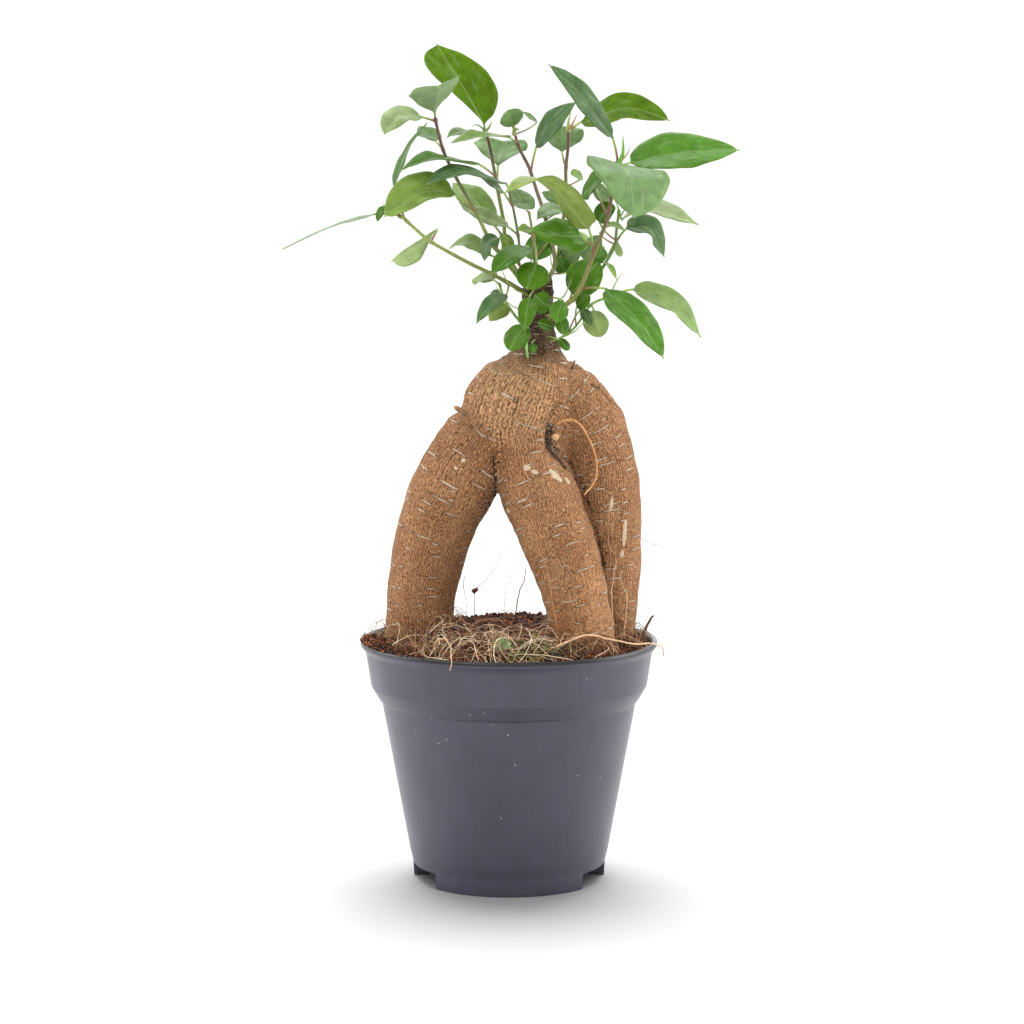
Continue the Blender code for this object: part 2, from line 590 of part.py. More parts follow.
def main():
    clear_scene()
    plastic = material("pot_plastic", (0.075, 0.072, 0.085), 0.42)
    earth = material("soil", (0.075, 0.030, 0.014), 0.95)
    bark = material("bark", (0.270, 0.145, 0.065), 0.85)
    shoot = material("shoot_bark", (0.120, 0.085, 0.025), 0.60)
    green = material("leaf_green", (0.090, 0.220, 0.035), 0.38)
    dry = material("dry_root", (0.420, 0.255, 0.110), 0.80)

    build_pot(plastic)
    fused_limbs("rootstock", bark)
    roots = helper(fused_limbs("root_socket", bark, grow=GAP + 0.1))
    build_soil(earth, roots)
    bpy.context.view_layer.update()
    tree = evaluated_tree(bpy.data.objects["rootstock"])

    axes = build_stems(shoot, tree)
    for leaf in LEAVES:
        build_leaf(leaf, axes, green)
    foot = (*LOOSE_ROOT_START, soil_height(*LOOSE_ROOT_START) + LOOSE_ROOT_RADIUS + REST_GAP)
    rod("loose_root_right", [foot, *LOOSE_ROOT], LOOSE_ROOT_RADIUS, LOOSE_ROOT_RADIUS * 0.7, dry)
    rod("aerial_root", lay_on(AERIAL_ROOT, tree, AERIAL_ROOT_RADIUS), AERIAL_ROOT_RADIUS,
        AERIAL_ROOT_RADIUS * 0.8, dry)


main()
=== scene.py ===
"""A ginseng ficus bonsai in its nursery pot: the fine surfaces and finishes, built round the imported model.

Lengths are in millimetres unless a name says otherwise, and MM turns them into metres. The pot stands on z = 0
with its axis on Z, and -Y is the front.
"""

import math

import bmesh
import bpy
import numpy as np
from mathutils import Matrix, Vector
from mathutils.bvhtree import BVHTree


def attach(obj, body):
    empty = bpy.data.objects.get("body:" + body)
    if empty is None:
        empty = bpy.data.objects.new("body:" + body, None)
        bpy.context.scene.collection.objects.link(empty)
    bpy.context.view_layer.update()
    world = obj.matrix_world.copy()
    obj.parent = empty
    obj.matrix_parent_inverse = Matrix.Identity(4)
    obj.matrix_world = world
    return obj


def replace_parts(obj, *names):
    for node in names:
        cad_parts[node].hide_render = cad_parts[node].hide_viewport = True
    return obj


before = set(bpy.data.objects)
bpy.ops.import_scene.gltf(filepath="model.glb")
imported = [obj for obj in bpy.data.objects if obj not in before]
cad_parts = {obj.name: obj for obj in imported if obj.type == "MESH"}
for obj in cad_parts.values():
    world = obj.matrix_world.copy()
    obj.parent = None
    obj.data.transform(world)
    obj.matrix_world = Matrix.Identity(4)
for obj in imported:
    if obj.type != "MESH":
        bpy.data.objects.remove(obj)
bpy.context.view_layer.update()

MM = 0.001
FRONT = np.array((0.0, -1.0, 0.0))

# Pot, as radius and height
RIM_RADIUS = 60.0
RIM_TOP = 97.6
BAND_TOP = (58.0, 93.0)
BAND_FOOT = (55.9, 79.2)
LEDGE_FOOT = (51.5, 72.6)
BASE_RADIUS = 38.7
WALL = 1.3
FLOOR_UNDERSIDE = 6.4
FLOOR_THICKNESS = 1.4
NOTCH_HEIGHT = 6.2
NOTCH_ANGLES = ((49.0, 87.5), (92.5, 131.0))  # degrees from the front, the same on both sides
SIDE_FOOT = (31.0, 38.3, 1.8)  # inner radius, outer radius, thickness
DRAIN_HOLES = 6
DRAIN_HOLE_RADIUS = 4.0
DRAIN_RING_RADIUS = 27.0
EDGE_ROUNDING = 0.45
POT_STEPS = 240

# Soil
SOIL_RIM_HEIGHT = 95.0
SOIL_CENTRE_HEIGHT = 103.0
SOIL_CROWN_POWER = 3.0
SOIL_EDGE = BAND_TOP[0] - WALL
CRUMB_COUNT = 4300
HAIR_COUNT = 230
FIBRE_SIDES = 5

# Heaps of crumbs, against the rim at the front right, over the rim at the left and low at the front: how many, the
# direction in radians from the front, its spread, how far they reach inwards, their outer radius and their height
HEAPS = (
    (1700, 0.62, 0.24, 0.09, SOIL_EDGE - 1.2, 1.6),
    (1100, -1.2, 0.2, 0.07, RIM_RADIUS + 0.2, 4.5),
    (400, -0.3, 0.5, 0.09, SOIL_EDGE - 1.2, 1.0),
)

# Crumbs caught in folds of the bark: how many and how far they spread
FOLD_CRUMBS = {"left_crease": (110, 0.7), "right_cleft": (260, 0.8), "cut_hollow": (130, 1.2),
               "crown_right": (34, 0.7)}

# Mats of fibre on the soil. Where: how many, the mean direction in radians from the front, its spread and the
# nearest share of the radius. Then the lengths, the lift, the radii, how far they bow and the colours.
MATS = {
    "dark_rootlets": ((640, -0.1, 0.9, 0.3), (5, 16), 1.0, (0.07, 0.14), 1.8,
                      ("33200f", "20130c", "4a2e1a", "63391f")),
    "coir_fibres": ((360, -0.25, 0.75, 0.45), (8, 26), 2.0, (0.07, 0.13), 1.8,
                    ("b98a62", "a06c44", "c9a27a", "84502f", "6f3d22", "d8b894")),
    "pale_straw": ((85, -0.2, 0.6, 0.55), (12, 32), 2.8, (0.08, 0.14), 3.6, ("e2cba8", "cdb08a", "ecd9bc")),
    "moss_strands": ((70, 0.3, 0.16, 0.72), (5, 13), 1.2, (0.12, 0.24), 1.8,
                     ("5f6a34", "4a5424", "7a7a3c", "333a1a")),
}

# Fibres tangled round the foot of each leg: how many, and their mean direction in radians from the front
FOOT_FIBRES = {"front_leg": (120, -0.1), "left_leg": (70, 0.5), "right_leg": (40, 0.2)}
FOOT_FIBRE_LOOK = ((7, 20), 4.0, (0.07, 0.15), 1.8, ("b98a62", "84502f", "c9a27a", "4a2c1a", "6f3d22"))

# Rootstock
BARK_VOXEL = 0.72
NECK_CENTRE = (12.0, -1.0)

# Each limb of the rootstock runs from its buried end upwards, as (x, y, z, radius).
LIMBS = {
    "left_leg": ((-35, -1, 84, 11), (-36, -1, 95, 13.4), (-36, -2, 109, 13.7), (-34, -3, 124, 14.3),
                 (-31, -4, 138, 15.1), (-26, -5, 152, 15.9), (-18.8, -6, 166, 16.6), (-10.5, -4, 178, 16.4),
                 (-1, 1, 189, 14.8), (5, 2, 200, 11)),
    "front_leg": ((31, -21, 84, 10.5), (30, -22, 95, 12.4), (28, -21, 109, 12.9), (25, -20, 124, 13.3),
                  (18, -17, 143, 14.6), (12, -13, 159, 15.2), (8, -8, 172, 15.6), (6, -3, 184, 16),
                  (8, 0, 194, 14)),
    "right_leg": ((37, 14, 84, 10), (38, 14, 95, 12.6), (39, 13, 110, 13.5), (39, 12, 128, 14.7),
                  (38, 11, 147, 15.5), (36, 9, 165, 16.1), (31, 7, 182, 15.8), (23, 4, 195, 14.2),
                  (15, 2, 203, 10.5)),
    "crown": ((3, 0, 170, 16.2), (2, 0, 182, 21.5), (5, 0, 193, 22), (9.5, 1, 203, 18), (11, 1, 209, 13.8),
              (11.5, 1, 214, 9.8), (12, 1, 219, 7.2), (12, 1, 224, 5.7), (12, 0, 230, 5.9), (12, -1, 238, 6.1),
              (12, -1, 243, 5.6)),
}

# Healed scars on the bark: place near the surface, half sizes across and up, and tilt down to the right in degrees
SCARS = (
    ((7, -28, 169.5), (1.6, 1.2), 20),
    ((10, -28, 168), (1.5, 0.8), 10),
    ((18.5, -25, 166.5), (3.6, 1.1), 42),
    ((23.5, -22, 164), (1.6, 0.5), 60),
    ((41, -8, 153), (0.6, 3.0), 5),
    ((46.5, -6, 141), (0.8, 6.0), 3),
    ((45.5, -5, 132), (0.7, 1.6), 0),
    ((0, -33, 152), (0.8, 0.9), 0),
    ((-18, -21, 172), (0.7, 1.0), 0),
    ((-21, -20, 169), (0.6, 0.7), 0),
)

# Folds and clefts of the bark: a line near the surface, its width, its depth, how dark its bottom is with
# caught soil and painted shade, and whether it runs on round the back
FOLDS = {
    "waist": (((-26, -4, 194), (-19, -14, 189), (-14, -18, 186), (-9, -20, 181), (-6, -20, 176), (-4, -18, 171)),
              2.6, 1.1, 0.0, True),
    "bulb_foot": (((-4, -20, 175), (1, -24, 174), (7, -26, 174), (13, -24, 175), (16, -20, 177)), 2.2, 0.8, 0.0,
                  False),
    "crown_right": (((16, -18, 177), (15.5, -20, 184), (17, -20, 190), (21, -18, 194), (26, -16, 197)), 1.0, 0.8,
                    0.3, False),
    "hollow": (((21, -16, 186), (22, -16, 180), (25, -16, 172)), 6.0, 2.6, 0.15, False),
    "crack": (((33, -4, 201), (36, -1, 199.5), (38.5, 1, 197), (42, 4, 192.5)), 0.45, 0.6, 0.42, False),
    "left_crease": (((-5.5, -18, 173), (-5.2, -14, 163), (-5.5, -14, 156), (-6, -14, 150)), 0.6, 0.5, 0.55, False),
    "right_cleft": (((17, -16, 183), (18, -16, 177), (22, -18, 172), (26, -18, 167), (30, -16, 160), (33, -12, 150),
                     (36, -8, 138), (38, -6, 128)), 1.1, 0.5, 0.6, False),
    "cut_hollow": (((17.5, -18, 184.5), (16.5, -16, 180), (18.5, -16, 174.5)), 1.8, 0.9, 0.45, False),
}

# Shoots: the route up from the neck, the radius at its foot and at its tip, and the colours of the foot and the tip
STEMS = {
    "stem_a": (((9, -3, 236), (-5, -10, 244), (-15, -14, 249), (-24, -18, 254), (-32, -22, 259),
                (-42, -25, 268)), 0.85, 0.6, "6f7434", "8a9a4c"),
    "stem_b": (((8, -2, 238), (-3, -5, 252), (-8, -7, 259), (-13, -8, 269), (-21, -9, 283), (-26, -10, 294),
                (-29, -11, 306)), 0.9, 0.6, "76863c", "5e4034"),
    "stem_c": (((8, 2, 238), (-1, 8, 253), (-2, 11, 264), (-4, 13, 275), (-6, 16, 286), (-8, 18, 296),
                (-10, 20, 302)), 0.85, 0.65, "7a8a40", "50362f"),
    "stem_d": (((13, 1, 238), (18, 4, 247), (18, 6, 253), (16, 9, 260), (14, 13, 269), (11, 17, 278),
                (8, 21, 287), (4, 24, 295), (2, 26, 302)), 0.95, 0.6, "6f6a3c", "5b4038"),
    "stem_e": (((13, 2, 238), (19, 12, 249), (21, 18, 260), (23, 22, 274), (23, 22, 286), (24, 22, 296),
                (24, 22, 303)), 0.9, 0.6, "6a7436", "5c4038"),
    "stem_f": (((14, -2, 226), (23, -8, 233), (28, -12, 239), (31, -16, 247), (34, -20, 255), (38, -24, 266),
                (40, -27, 276), (42, -30, 289)), 0.95, 0.68, "7d7c40", "644636"),
    "stem_g": (((14, 0, 229), (26, 2, 234), (34, 3, 240), (37, 4, 246), (42, 5, 255), (43, 5, 262),
                (44, 5, 270)), 0.7, 0.55, "63883a", "5a7a34"),
    "stem_h": (((14, 2, 215), (24, 5, 221), (28, 6, 225), (33, 8, 232), (40, 10, 235)), 0.55, 0.45, "6d9a3c",
               "7aa84a"),
    "stem_i": (((9, -1, 220), (1, -3, 230), (-2, 0, 235), (-4, 3, 241)), 0.65, 0.45, "7d9a48", "6d8a3c"),
    "stem_j": (((8, -5, 209), (7, -14, 215), (7, -15, 220), (7, -15, 225)), 0.55, 0.45, "8fc06a", "9ccc74"),
    "stem_k": (((11, 0, 238), (10, 2, 253), (9, 4, 263), (8, 6, 269)), 0.65, 0.45, "5c6a34", "74803c"),
    "stem_l": (((9, 2, 238), (4, 8, 249), (4, 8, 257), (2, 9, 269), (0, 8, 278)), 0.65, 0.45, "5f7a34",
               "5c6a34"),
}

# Leaf tones: upper side, underside. lit is painted light: the bright yellow-green of leaves that light shines
# through
TONES = {
    "lit": ("5a800a", "60840e"),
    "deep": ("4f6e42", "78906a"),
    "dark": ("446e12", "6f9040"),
    "vivid": ("4f7a16", "7c9a4c"),
    "fresh": ("56862a", "80a24a"),
    "sage": ("769660", "8ca27a"),
    "soft": ("7c9846", "8ea45e"),
    "grey": ("6a8656", "80946c"),
    "pale": ("7e9a56", "98ad70"),
    "mist": ("90a470", "9cac80"),
    "olive": ("84984c", "90a256"),
}

# Blade outlines: for the half on the leaf's own right and then for the other one, its share of the half width,
# where along the blade it is widest and how slender its ends are; then how far the edges sweep towards the tip.
OUTLINES = {
    "oval": ((1.0, 0.45, 0.8), (1.0, 0.45, 0.8), 0.05),
    "lance": ((1.0, 0.44, 0.9), (1.0, 0.42, 0.9), 0.05),
    "round": ((1.0, 0.5, 0.66), (1.0, 0.46, 0.62), 0.0),
    "fan": ((1.0, 0.62, 1.0), (1.0, 0.6, 1.05), 0.08),
    "flap": ((0.25, 0.5, 0.8), (1.6, 0.76, 2.3), 0.0),
    "ridged": ((1.3, 0.46, 0.7), (0.8, 0.6, 0.8), 0.0),
    "based": ((1.0, 0.33, 0.55), (1.0, 0.36, 0.6), 0.0),
    "broad": ((1.0, 0.34, 0.42), (1.08, 0.4, 0.42), -0.12),
    "lopsided": ((0.9, 0.8, 1.7), (1.15, 0.42, 0.86), 0.0),
}

# Leaves: the stem that carries each, the height at which it leaves that stem, its midrib from the blade's base
# to its tip, its width, the way its upper side faces, how far its halves fold up (degrees), its tone and its
# outline. TWISTS says how far a leaf's base is twisted against its tip, in degrees.
NECK = "rootstock"
TWISTS = {"leaf_f_arched": 110}
LEAVES = {
    "leaf_c_tip": ("stem_c", 302, ((-10, 19, 304), (-19, 17, 320), (-29, 12, 336.5)), 21.5, (0.25, 0.9, 0.3),
        14, "lit", "lopsided"),
    "leaf_b_tip": ("stem_b", 306, ((-29, -13, 308), (-28, -26, 314), (-27, -38, 318)), 23.5,
        (-0.35, 0.35, 0.85), 24, "sage", "fan"),
    "leaf_b_side": ("stem_b", 305, ((-34.4, -14, 306.4), (-43.2, -19, 306.6), (-48.5, -24, 299.2)), 13,
        (-0.1, -0.6, 0.8), 14, "mist", "oval"),
    "leaf_a_upright": ("stem_a", 266, ((-45, -18, 279), (-41, -14, 292), (-32, -11, 304)), 11,
        (-0.85, -0.28, 0.4), 11, "dark", "lance"),
    "leaf_c_arched": ("stem_c", 283, ((-12.3, 4, 288.3), (-28.4, -20, 290), (-41.8, -28, 285.6)), 13,
        (0, -0.35, 0.93), 18, "dark", "lance"),
    "leaf_l_arched": ("stem_l", 277, ((-1.2, 2, 280.5), (-19.1, -19, 284.3), (-32, -31, 280.5)), 13,
        (0, -0.5, 0.85), 18, "deep", "lance"),
    "leaf_b_large": ("stem_b", 269, ((-21.2, -15, 276.5), (-34.6, -26, 276.4), (-48.2, -34, 268.1)), 15,
        (-0.15, -0.8, 0.5), 20, "soft", "ridged"),
    "leaf_c_pale": ("stem_c", 259, ((-7, 12, 265), (-15, 20, 275), (-23, 26, 281)), 15, (0.5, -0.75, 0.4), 11,
        "pale", "oval"),
    "leaf_l_silver": ("stem_l", 260, ((0, 1, 263), (-11, 1, 268), (-20, 3, 273)), 12, (0.25, -0.45, 0.85), 14,
        "mist", "oval"),
    "leaf_a_tip": ("stem_a", 268, ((-51.6, -28, 268.8), (-68.1, -26, 264.5), (-88.7, -22, 254.7)), 9,
        (-0.05, -0.15, 0.98), 6, "grey", "lance"),
    "leaf_a_lower": ("stem_a", 258, ((-28.4, -12, 262.7), (-35.8, -13, 256.8), (-46.5, -14, 249.8)), 12,
        (-0.4, -0.7, 0.55), 14, "mist", "flap"),
    "leaf_b_lower": ("stem_b", 250, ((-7, -3, 252), (-16, -2, 257), (-24, 0, 255)), 12, (0, -0.4, 0.9), 14,
        "pale", "lance"),
    "leaf_b_hanging": ("stem_b", 255, ((-4, -11, 259), (-8, -12, 257), (-10, -12, 250)), 8, (-0.6, -0.7, 0.3),
        14, "deep", "oval"),
    "leaf_l_front": ("stem_l", 255, ((8, -6, 255.5), (0, -17, 251.5), (-7, -24, 245.5)), 12,
        (-0.15, -0.65, 0.75), 11, "dark", "lance"),
    "leaf_k_front": ("stem_k", 261, ((11, -10, 249), (9, -14, 244), (7, -16, 239)), 13, (0, -0.95, 0.25), 7,
        "vivid", "round"),
    "leaf_f_centre": ("stem_f", 255, ((28, -24, 260), (19, -29, 261), (8, -34, 262)), 19, (0.05, -0.68, 0.73),
        11, "vivid", "broad"),
    "leaf_e_inner": ("stem_e", 269, ((25, 14, 268), (18, 8, 270), (11, 2, 266)), 12, (0, -0.5, 0.85), 11,
        "grey", "lance"),
    "leaf_f_arched": ("stem_f", 253, ((31, -29, 263), (14, -38, 281), (-2, -44, 277)), 21, (-0.1, -0.72, 0.65),
        14, "olive", "based"),
    "leaf_d_tip": ("stem_d", 302, ((1.6, 24, 303.2), (0.8, 22, 306.4), (-0.4, 20, 309.9)), 11,
        (0.1, -0.97, 0.2), 22, "sage", "fan"),
    "leaf_d_level": ("stem_d", 296, ((0, 19, 299), (-12, 4, 299), (-23, -3, 297)), 14, (0, -0.25, 0.97), 14,
        "pale", "lance"),
    "leaf_d_rising": ("stem_d", 285, ((11, 18, 295), (18, 10, 305), (27, 3, 313)), 12, (-0.5, -0.72, 0.4), 14,
        "deep", "lance"),
    "leaf_e_back": ("stem_e", 287, ((21.5, 28, 293.2), (22, 31, 297.7), (23.3, 36, 303.4)), 18,
        (0, -0.75, 0.65), 24, "grey", "fan"),
    "leaf_f_narrow": ("stem_f", 289, ((40, -33, 298), (28, -38, 313.5), (15, -42, 325.5)), 12,
        (0.5, -0.7, 0.45), 14, "deep", "oval"),
    "leaf_e_tip": ("stem_e", 302, ((29, 24, 305), (47, 31, 311), (66, 38, 306)), 16, (0, 0.72, 0.7), 11, "lit",
        "oval"),
    "leaf_f_right": ("stem_f", 287, ((47, -26, 288.5), (67, -16, 292), (91, -10, 294)), 20,
        (-0.05, -0.75, 0.65), 15, "fresh", "oval"),
    "leaf_f_broad": ("stem_f", 286, ((43, -36, 288), (46, -51, 281), (48, -60, 268)), 32, (0.3, -0.5, 0.8), 7,
        "sage", "broad"),
    "leaf_g_tip": ("stem_g", 269, ((45.1, 3, 266), (57.5, -4, 270.4), (75.1, -8, 264.6)), 19, (0, -0.32, 0.95),
        14, "mist", "oval"),
    "leaf_g_side": ("stem_g", 255, ((46.9, 8, 262.4), (56.6, 10, 261.9), (62.5, 14, 251)), 16,
        (0.15, -0.55, 0.8), 22, "deep", "oval"),
    "leaf_f_round": ("stem_f", 234, ((25, -2, 236.8), (30, -4, 243.8), (36, -3, 249.8)), 15.5,
        (-0.3, -0.9, 0.3), 7, "vivid", "round"),
    "leaf_f_low": ("stem_f", 239, ((38, -20, 239.5), (49, -29, 229), (60, -38, 213)), 17, (0.45, -0.72, 0.55),
        11, "fresh", "oval"),
    "leaf_h_tip": ("stem_h", 235, ((50, 14, 238), (66, 22, 231), (79, 28, 218)), 17, (0.25, -0.62, 0.75), 20,
        "pale", "lance"),
    "leaf_a_base": ("stem_a", 241, ((-1, -12, 237), (-7, -17, 233), (-13, -22, 226)), 9, (-0.4, -0.7, 0.6), 14,
        "deep", "lance"),
    "leaf_i_tip": ("stem_i", 240, ((-6, 6, 242), (-10, 10, 243), (-15, 15, 242)), 10, (0.1, -0.7, 0.7), 7,
        "pale", "round"),
    "leaf_neck_narrow": (NECK, 240, ((8, -17, 236), (7, -19, 230.5), (6, -21, 223)), 7.5, (0.1, -0.97, 0.2), 11,
        "vivid", "oval"),
    "leaf_neck_round": (NECK, 233, ((16, -12, 232), (13, -14, 234), (10, -15, 237)), 9, (0, -0.95, 0.3), 7,
        "vivid", "round"),
    "leaf_neck_bright": (NECK, 235, ((21.4, -16, 234.5), (19.4, -18, 230), (18.4, -20, 226)), 8,
        (0.2, -0.93, 0.3), 11, "fresh", "oval"),
    "leaf_j_tip": ("stem_j", 224, ((6, -17, 225), (3, -18, 220), (0, -19, 215)), 10.5, (-0.3, -0.9, 0.35), 7,
        "vivid", "round"),
    "leaf_h_low": ("stem_h", 232, ((34, 4, 230), (35, 6, 224), (37, 8, 219)), 10.5, (0.1, 0.9, 0.4), 7, "pale",
        "round"),
    "leaf_f_behind": ("stem_f", 279, ((37, -22, 282), (33, -16, 280), (28, -10, 275)), 13, (-0.35, -0.75, 0.55),
        11, "dark", "oval"),
    "leaf_c_broad": ("stem_c", 280, ((-4.5, 22, 287.5), (-3.7, 30, 292.4), (-2.5, 38, 297.8)), 24,
        (0, -0.75, 0.65), 24, "sage", "fan"),
    "leaf_b_back": ("stem_b", 294, ((-29, -4, 297), (-32, 1, 300), (-36, 5, 303)), 10, (0.35, -0.75, 0.55), 11,
        "grey", "oval"),
    "leaf_k_tip": ("stem_k", 269, ((7, 11, 270), (5, 17, 274), (2, 22, 278)), 11, (0.3, -0.8, 0.5), 7, "grey",
        "round"),
    "leaf_e_far": ("stem_e", 259, ((27, 26, 256), (33, 34, 257), (39, 42, 254)), 13, (0.1, -0.5, 0.85), 11,
        "soft", "oval"),
}

# Leaves too small for a solid of their own, given in the same way
SMALL_LEAVES = {
    "small_c_side": ("stem_c", 299, ((-15, 17, 301), (-19, 12, 301), (-25, 8, 299)), 9, (0, -0.4, 0.9), 14,
        "grey", "lance"),
    "small_d_edge": ("stem_d", 300, ((11.4, 31, 305.3), (8.5, 30, 307.3), (5.3, 29, 309.7)), 4,
        (-0.4, -0.5, 0.8), 14, "grey", "lance"),
    "small_l_side": ("stem_l", 271, ((-3, 4, 278), (-6, 0, 280), (-11, -6, 283)), 9, (0.3, -0.6, 0.7), 11,
        "grey", "oval"),
    "small_e_low": ("stem_d", 266, ((21, 24, 272), (17, 24, 275), (13, 24, 277)), 6, (0.3, -0.8, 0.6), 11,
        "grey", "lance"),
    "small_e_left": ("stem_e", 279, ((30, 30, 283), (28, 28, 284), (25, 26, 284)), 6, (0, -0.8, 0.6), 11,
        "pale", "round"),
    "small_f_rear": ("stem_f", 268, ((34, -6, 280), (37, -4, 276), (41, -2, 273)), 8, (0.3, -0.8, 0.5), 11,
        "grey", "oval"),
    "small_g_upper": ("stem_g", 258, ((36, -6, 265), (38, -8, 269), (42, -12, 271)), 9, (-0.2, -0.9, 0.3), 11,
        "dark", "round"),
    "small_g_level": ("stem_g", 256, ((36, -4, 261), (41, -6, 264), (46, -10, 262)), 6, (0, -0.35, 0.9), 14,
        "soft", "lance"),
    "small_g_pale": ("stem_g", 250, ((42, 8, 256), (44, 10, 254), (46, 12, 252)), 5.5, (0.3, -0.8, 0.5), 7,
        "pale", "round"),
    "small_g_arched": ("stem_g", 241, ((36, 4, 249), (40, 0, 248), (43, -4, 242)), 5, (0.5, -0.4, 0.7), 14,
        "soft", "lance"),
    "small_f_bright": ("stem_g", 243, ((34, -2, 249), (36, -4, 253), (37, -6, 256)), 7, (-0.2, -0.9, 0.2), 7,
        "fresh", "round"),
    "small_f_grey": ("stem_e", 247, ((31, 4, 250), (33, 6, 255), (37, 8, 260)), 10, (-0.4, -0.8, 0.4), 7,
        "grey", "oval"),
    "small_k_left": ("stem_k", 257, ((10, 8, 261), (7, 6, 262), (3, 4, 262)), 7, (0, -0.6, 0.7), 11, "soft",
        "lance"),
    "small_k_low": ("stem_k", 250, ((17, 10, 259), (12, 8, 255), (7, 6, 251)), 11, (0.1, -0.9, 0.4), 7, "fresh",
        "round"),
    "small_d_low": ("stem_d", 245, ((23, 8, 245), (21, 6, 248), (18, 4, 251)), 7, (-0.2, -0.9, 0.3), 11, "dark",
        "oval"),
    "small_e_mid": ("stem_e", 246, ((22, 14, 249), (25, 12, 253), (29, 10, 258)), 10, (-0.3, -0.9, 0.3), 11,
        "grey", "oval"),
    "small_b_mid": ("stem_l", 247, ((1, 6, 252), (-1, 4, 257), (-4, 2, 260)), 7, (0.3, -0.8, 0.4), 11, "soft",
        "oval"),
    "small_neck_oval": (NECK, 225, ((17.5, -12, 224), (14.5, -13, 225), (11, -14, 226)), 5, (0, -0.9, 0.3), 7,
        "dark", "round"),
    "small_neck_tiny": (NECK, 219, ((9, -13, 217.5), (9.5, -14, 216), (10, -14, 214)), 3.4, (0, -0.9, 0.3), 7,
        "fresh", "round"),
    "small_neck_right": (NECK, 228, ((19, -12, 228), (21, -13, 225), (22, -14, 221)), 6, (0.2, -0.9, 0.2), 7,
        "dark", "round"),
    "small_neck_under": (NECK, 220, ((20, -10, 219), (22, -11, 217), (24, -12, 215)), 4.2, (0, -0.8, 0.6), 7,
        "dark", "round"),
    "small_h_upper": ("stem_h", 224, ((27, -6, 232), (29, -8, 234), (32, -9, 237)), 6.5, (-0.2, -0.9, 0.4), 7,
        "dark", "round"),
    "small_h_side": ("stem_h", 221, ((29, -4, 231), (31, -5, 228), (33, -6, 224)), 5, (0.3, -0.9, 0.3), 7,
        "deep", "oval"),
    "small_neck_fork": (NECK, 229, ((19, -10, 228), (21, -11, 230), (24, -12, 231)), 4, (0, -0.8, 0.5), 7,
        "fresh", "oval"),
    "small_i_low": ("stem_i", 233, ((-1, -2, 233), (-4, -4, 230), (-8, -6, 226)), 8, (0, -0.8, 0.6), 7, "olive",
        "oval"),
    "small_i_back": ("stem_i", 236, ((-4, 8, 238), (-6, 10, 234), (-9, 12, 229)), 6, (-0.2, -0.8, 0.6), 7,
        "deep", "lance"),
    "small_a_fold": ("stem_a", 268, ((-48.5, -28, 271.8), (-50, -29, 269.2), (-51.2, -29, 265.7)), 3.4,
        (-0.3, -0.9, 0.2), 6, "dark", "oval"),
}

# Buds and stipules at the shoots' tips: a path, its radius at its foot and its colour
BUDS = (
    (((-10, 19, 301), (-8, 19, 303), (-7, 18, 305.5)), 0.8, "6f8a3c"),
    (((-10, 19, 302), (-13, 20, 304), (-15.5, 22, 303)), 0.45, "5a8048"),
    (((2, 25, 300), (2, 24, 303), (1.6, 24, 306)), 1.1, "8a8a4c"),
    (((2, 25, 301), (3.5, 23, 302.5), (4, 22, 299.5)), 0.6, "7fa04c"),
    (((24, 22, 301), (24, 22, 305), (25, 21, 309)), 1.0, "94a05a"),
    (((24, 22, 302), (26, 21, 305), (27.5, 20, 308.5)), 0.7, "a07a4c"),
    (((42, -30, 287), (44, -31, 292), (44, -31, 299)), 1.25, "5f9a30"),
    (((42, -30, 288), (45, -32, 291), (47, -33, 294.5)), 0.6, "a08a5a"),
    (((44, 5, 267), (43.8, 4, 270), (42.5, 3, 273)), 0.7, "6f9a34"),
    (((44, 5, 267), (45.5, 4, 269), (46.5, 3, 271)), 0.5, "8a9a4a"),
    (((-42, -25, 267), (-46, -24, 270.5), (-50, -24, 273)), 0.55, "6f8a4c"),
    (((40, 10, 234), (43, 8, 241), (45.5, 6, 245)), 0.5, "8fb060"),
    (((11, -6, 243), (10.6, -7, 247), (10, -7, 250)), 0.6, "6a5a34"),
)

STALK_RADIUS = 0.45
STALK_ROWS = 10
BLADE_ROWS = 36
BLADE_COLUMNS = 14
BLADE_THICKNESS = 0.28
BLADE_DROOP = 0.1  # how far the margin hangs, as a share of the half width
MIDRIB_RISE = 0.3

# Loose roots
SCRAP_PLACE = np.array((-3.1, -45.0, 102.2))  # the withered scrap of leaf on the litter
LOOSE_ROOT = ((14, -45, 100), (20, -44, 102), (30, -42, 105.5), (41, -35, 102.5), (50, -27, 99.6), (56, -19, 98.6),
              (61.2, -12, 96), (62.2, -10, 92))
AERIAL_ROOT = ((19, -18, 186), (23, -20, 188), (28, -20, 186), (33, -15, 177), (35, -13, 169), (34, -14, 163),
               (30, -19, 158))


# Arrays and meshes ---------------------------------------------------------------------------------------


def unit(vectors):
    """The vectors scaled to length one."""
    vectors = np.asarray(vectors, float)
    return vectors / np.maximum(np.linalg.norm(vectors, axis=-1, keepdims=True), 1e-12)


def curve_through(points, steps):
    """Points on the Catmull-Rom curve through the given ones. Between b and c of four in a row it is half of
    2b + (c - a)t + (2a - 5b + 4c - d)t^2 + (3b - a - 3c + d)t^3. Each row may hold a radius as its last number."""
    rows = np.asarray(points, float)
    rows = np.vstack([rows[:1], rows, rows[-1:]])
    a, b, c, d = (rows[i:len(rows) - 3 + i, None] for i in range(4))
    t = (np.arange(steps) / steps)[None, :, None]
    between = 0.5 * (2 * b + (c - a) * t + (2 * a - 5 * b + 4 * c - d) * t**2 + (3 * b - a - 3 * c + d) * t**3)
    return np.vstack([between.reshape(-1, rows.shape[1]), rows[-1:]])


def smoothstep(low, high, value):
    """0 below low, 1 above high, and 3t^2 - 2t^3 between."""
    t = np.clip((value - low) / (high - low), 0, 1)
    return t * t * (3 - 2 * t)


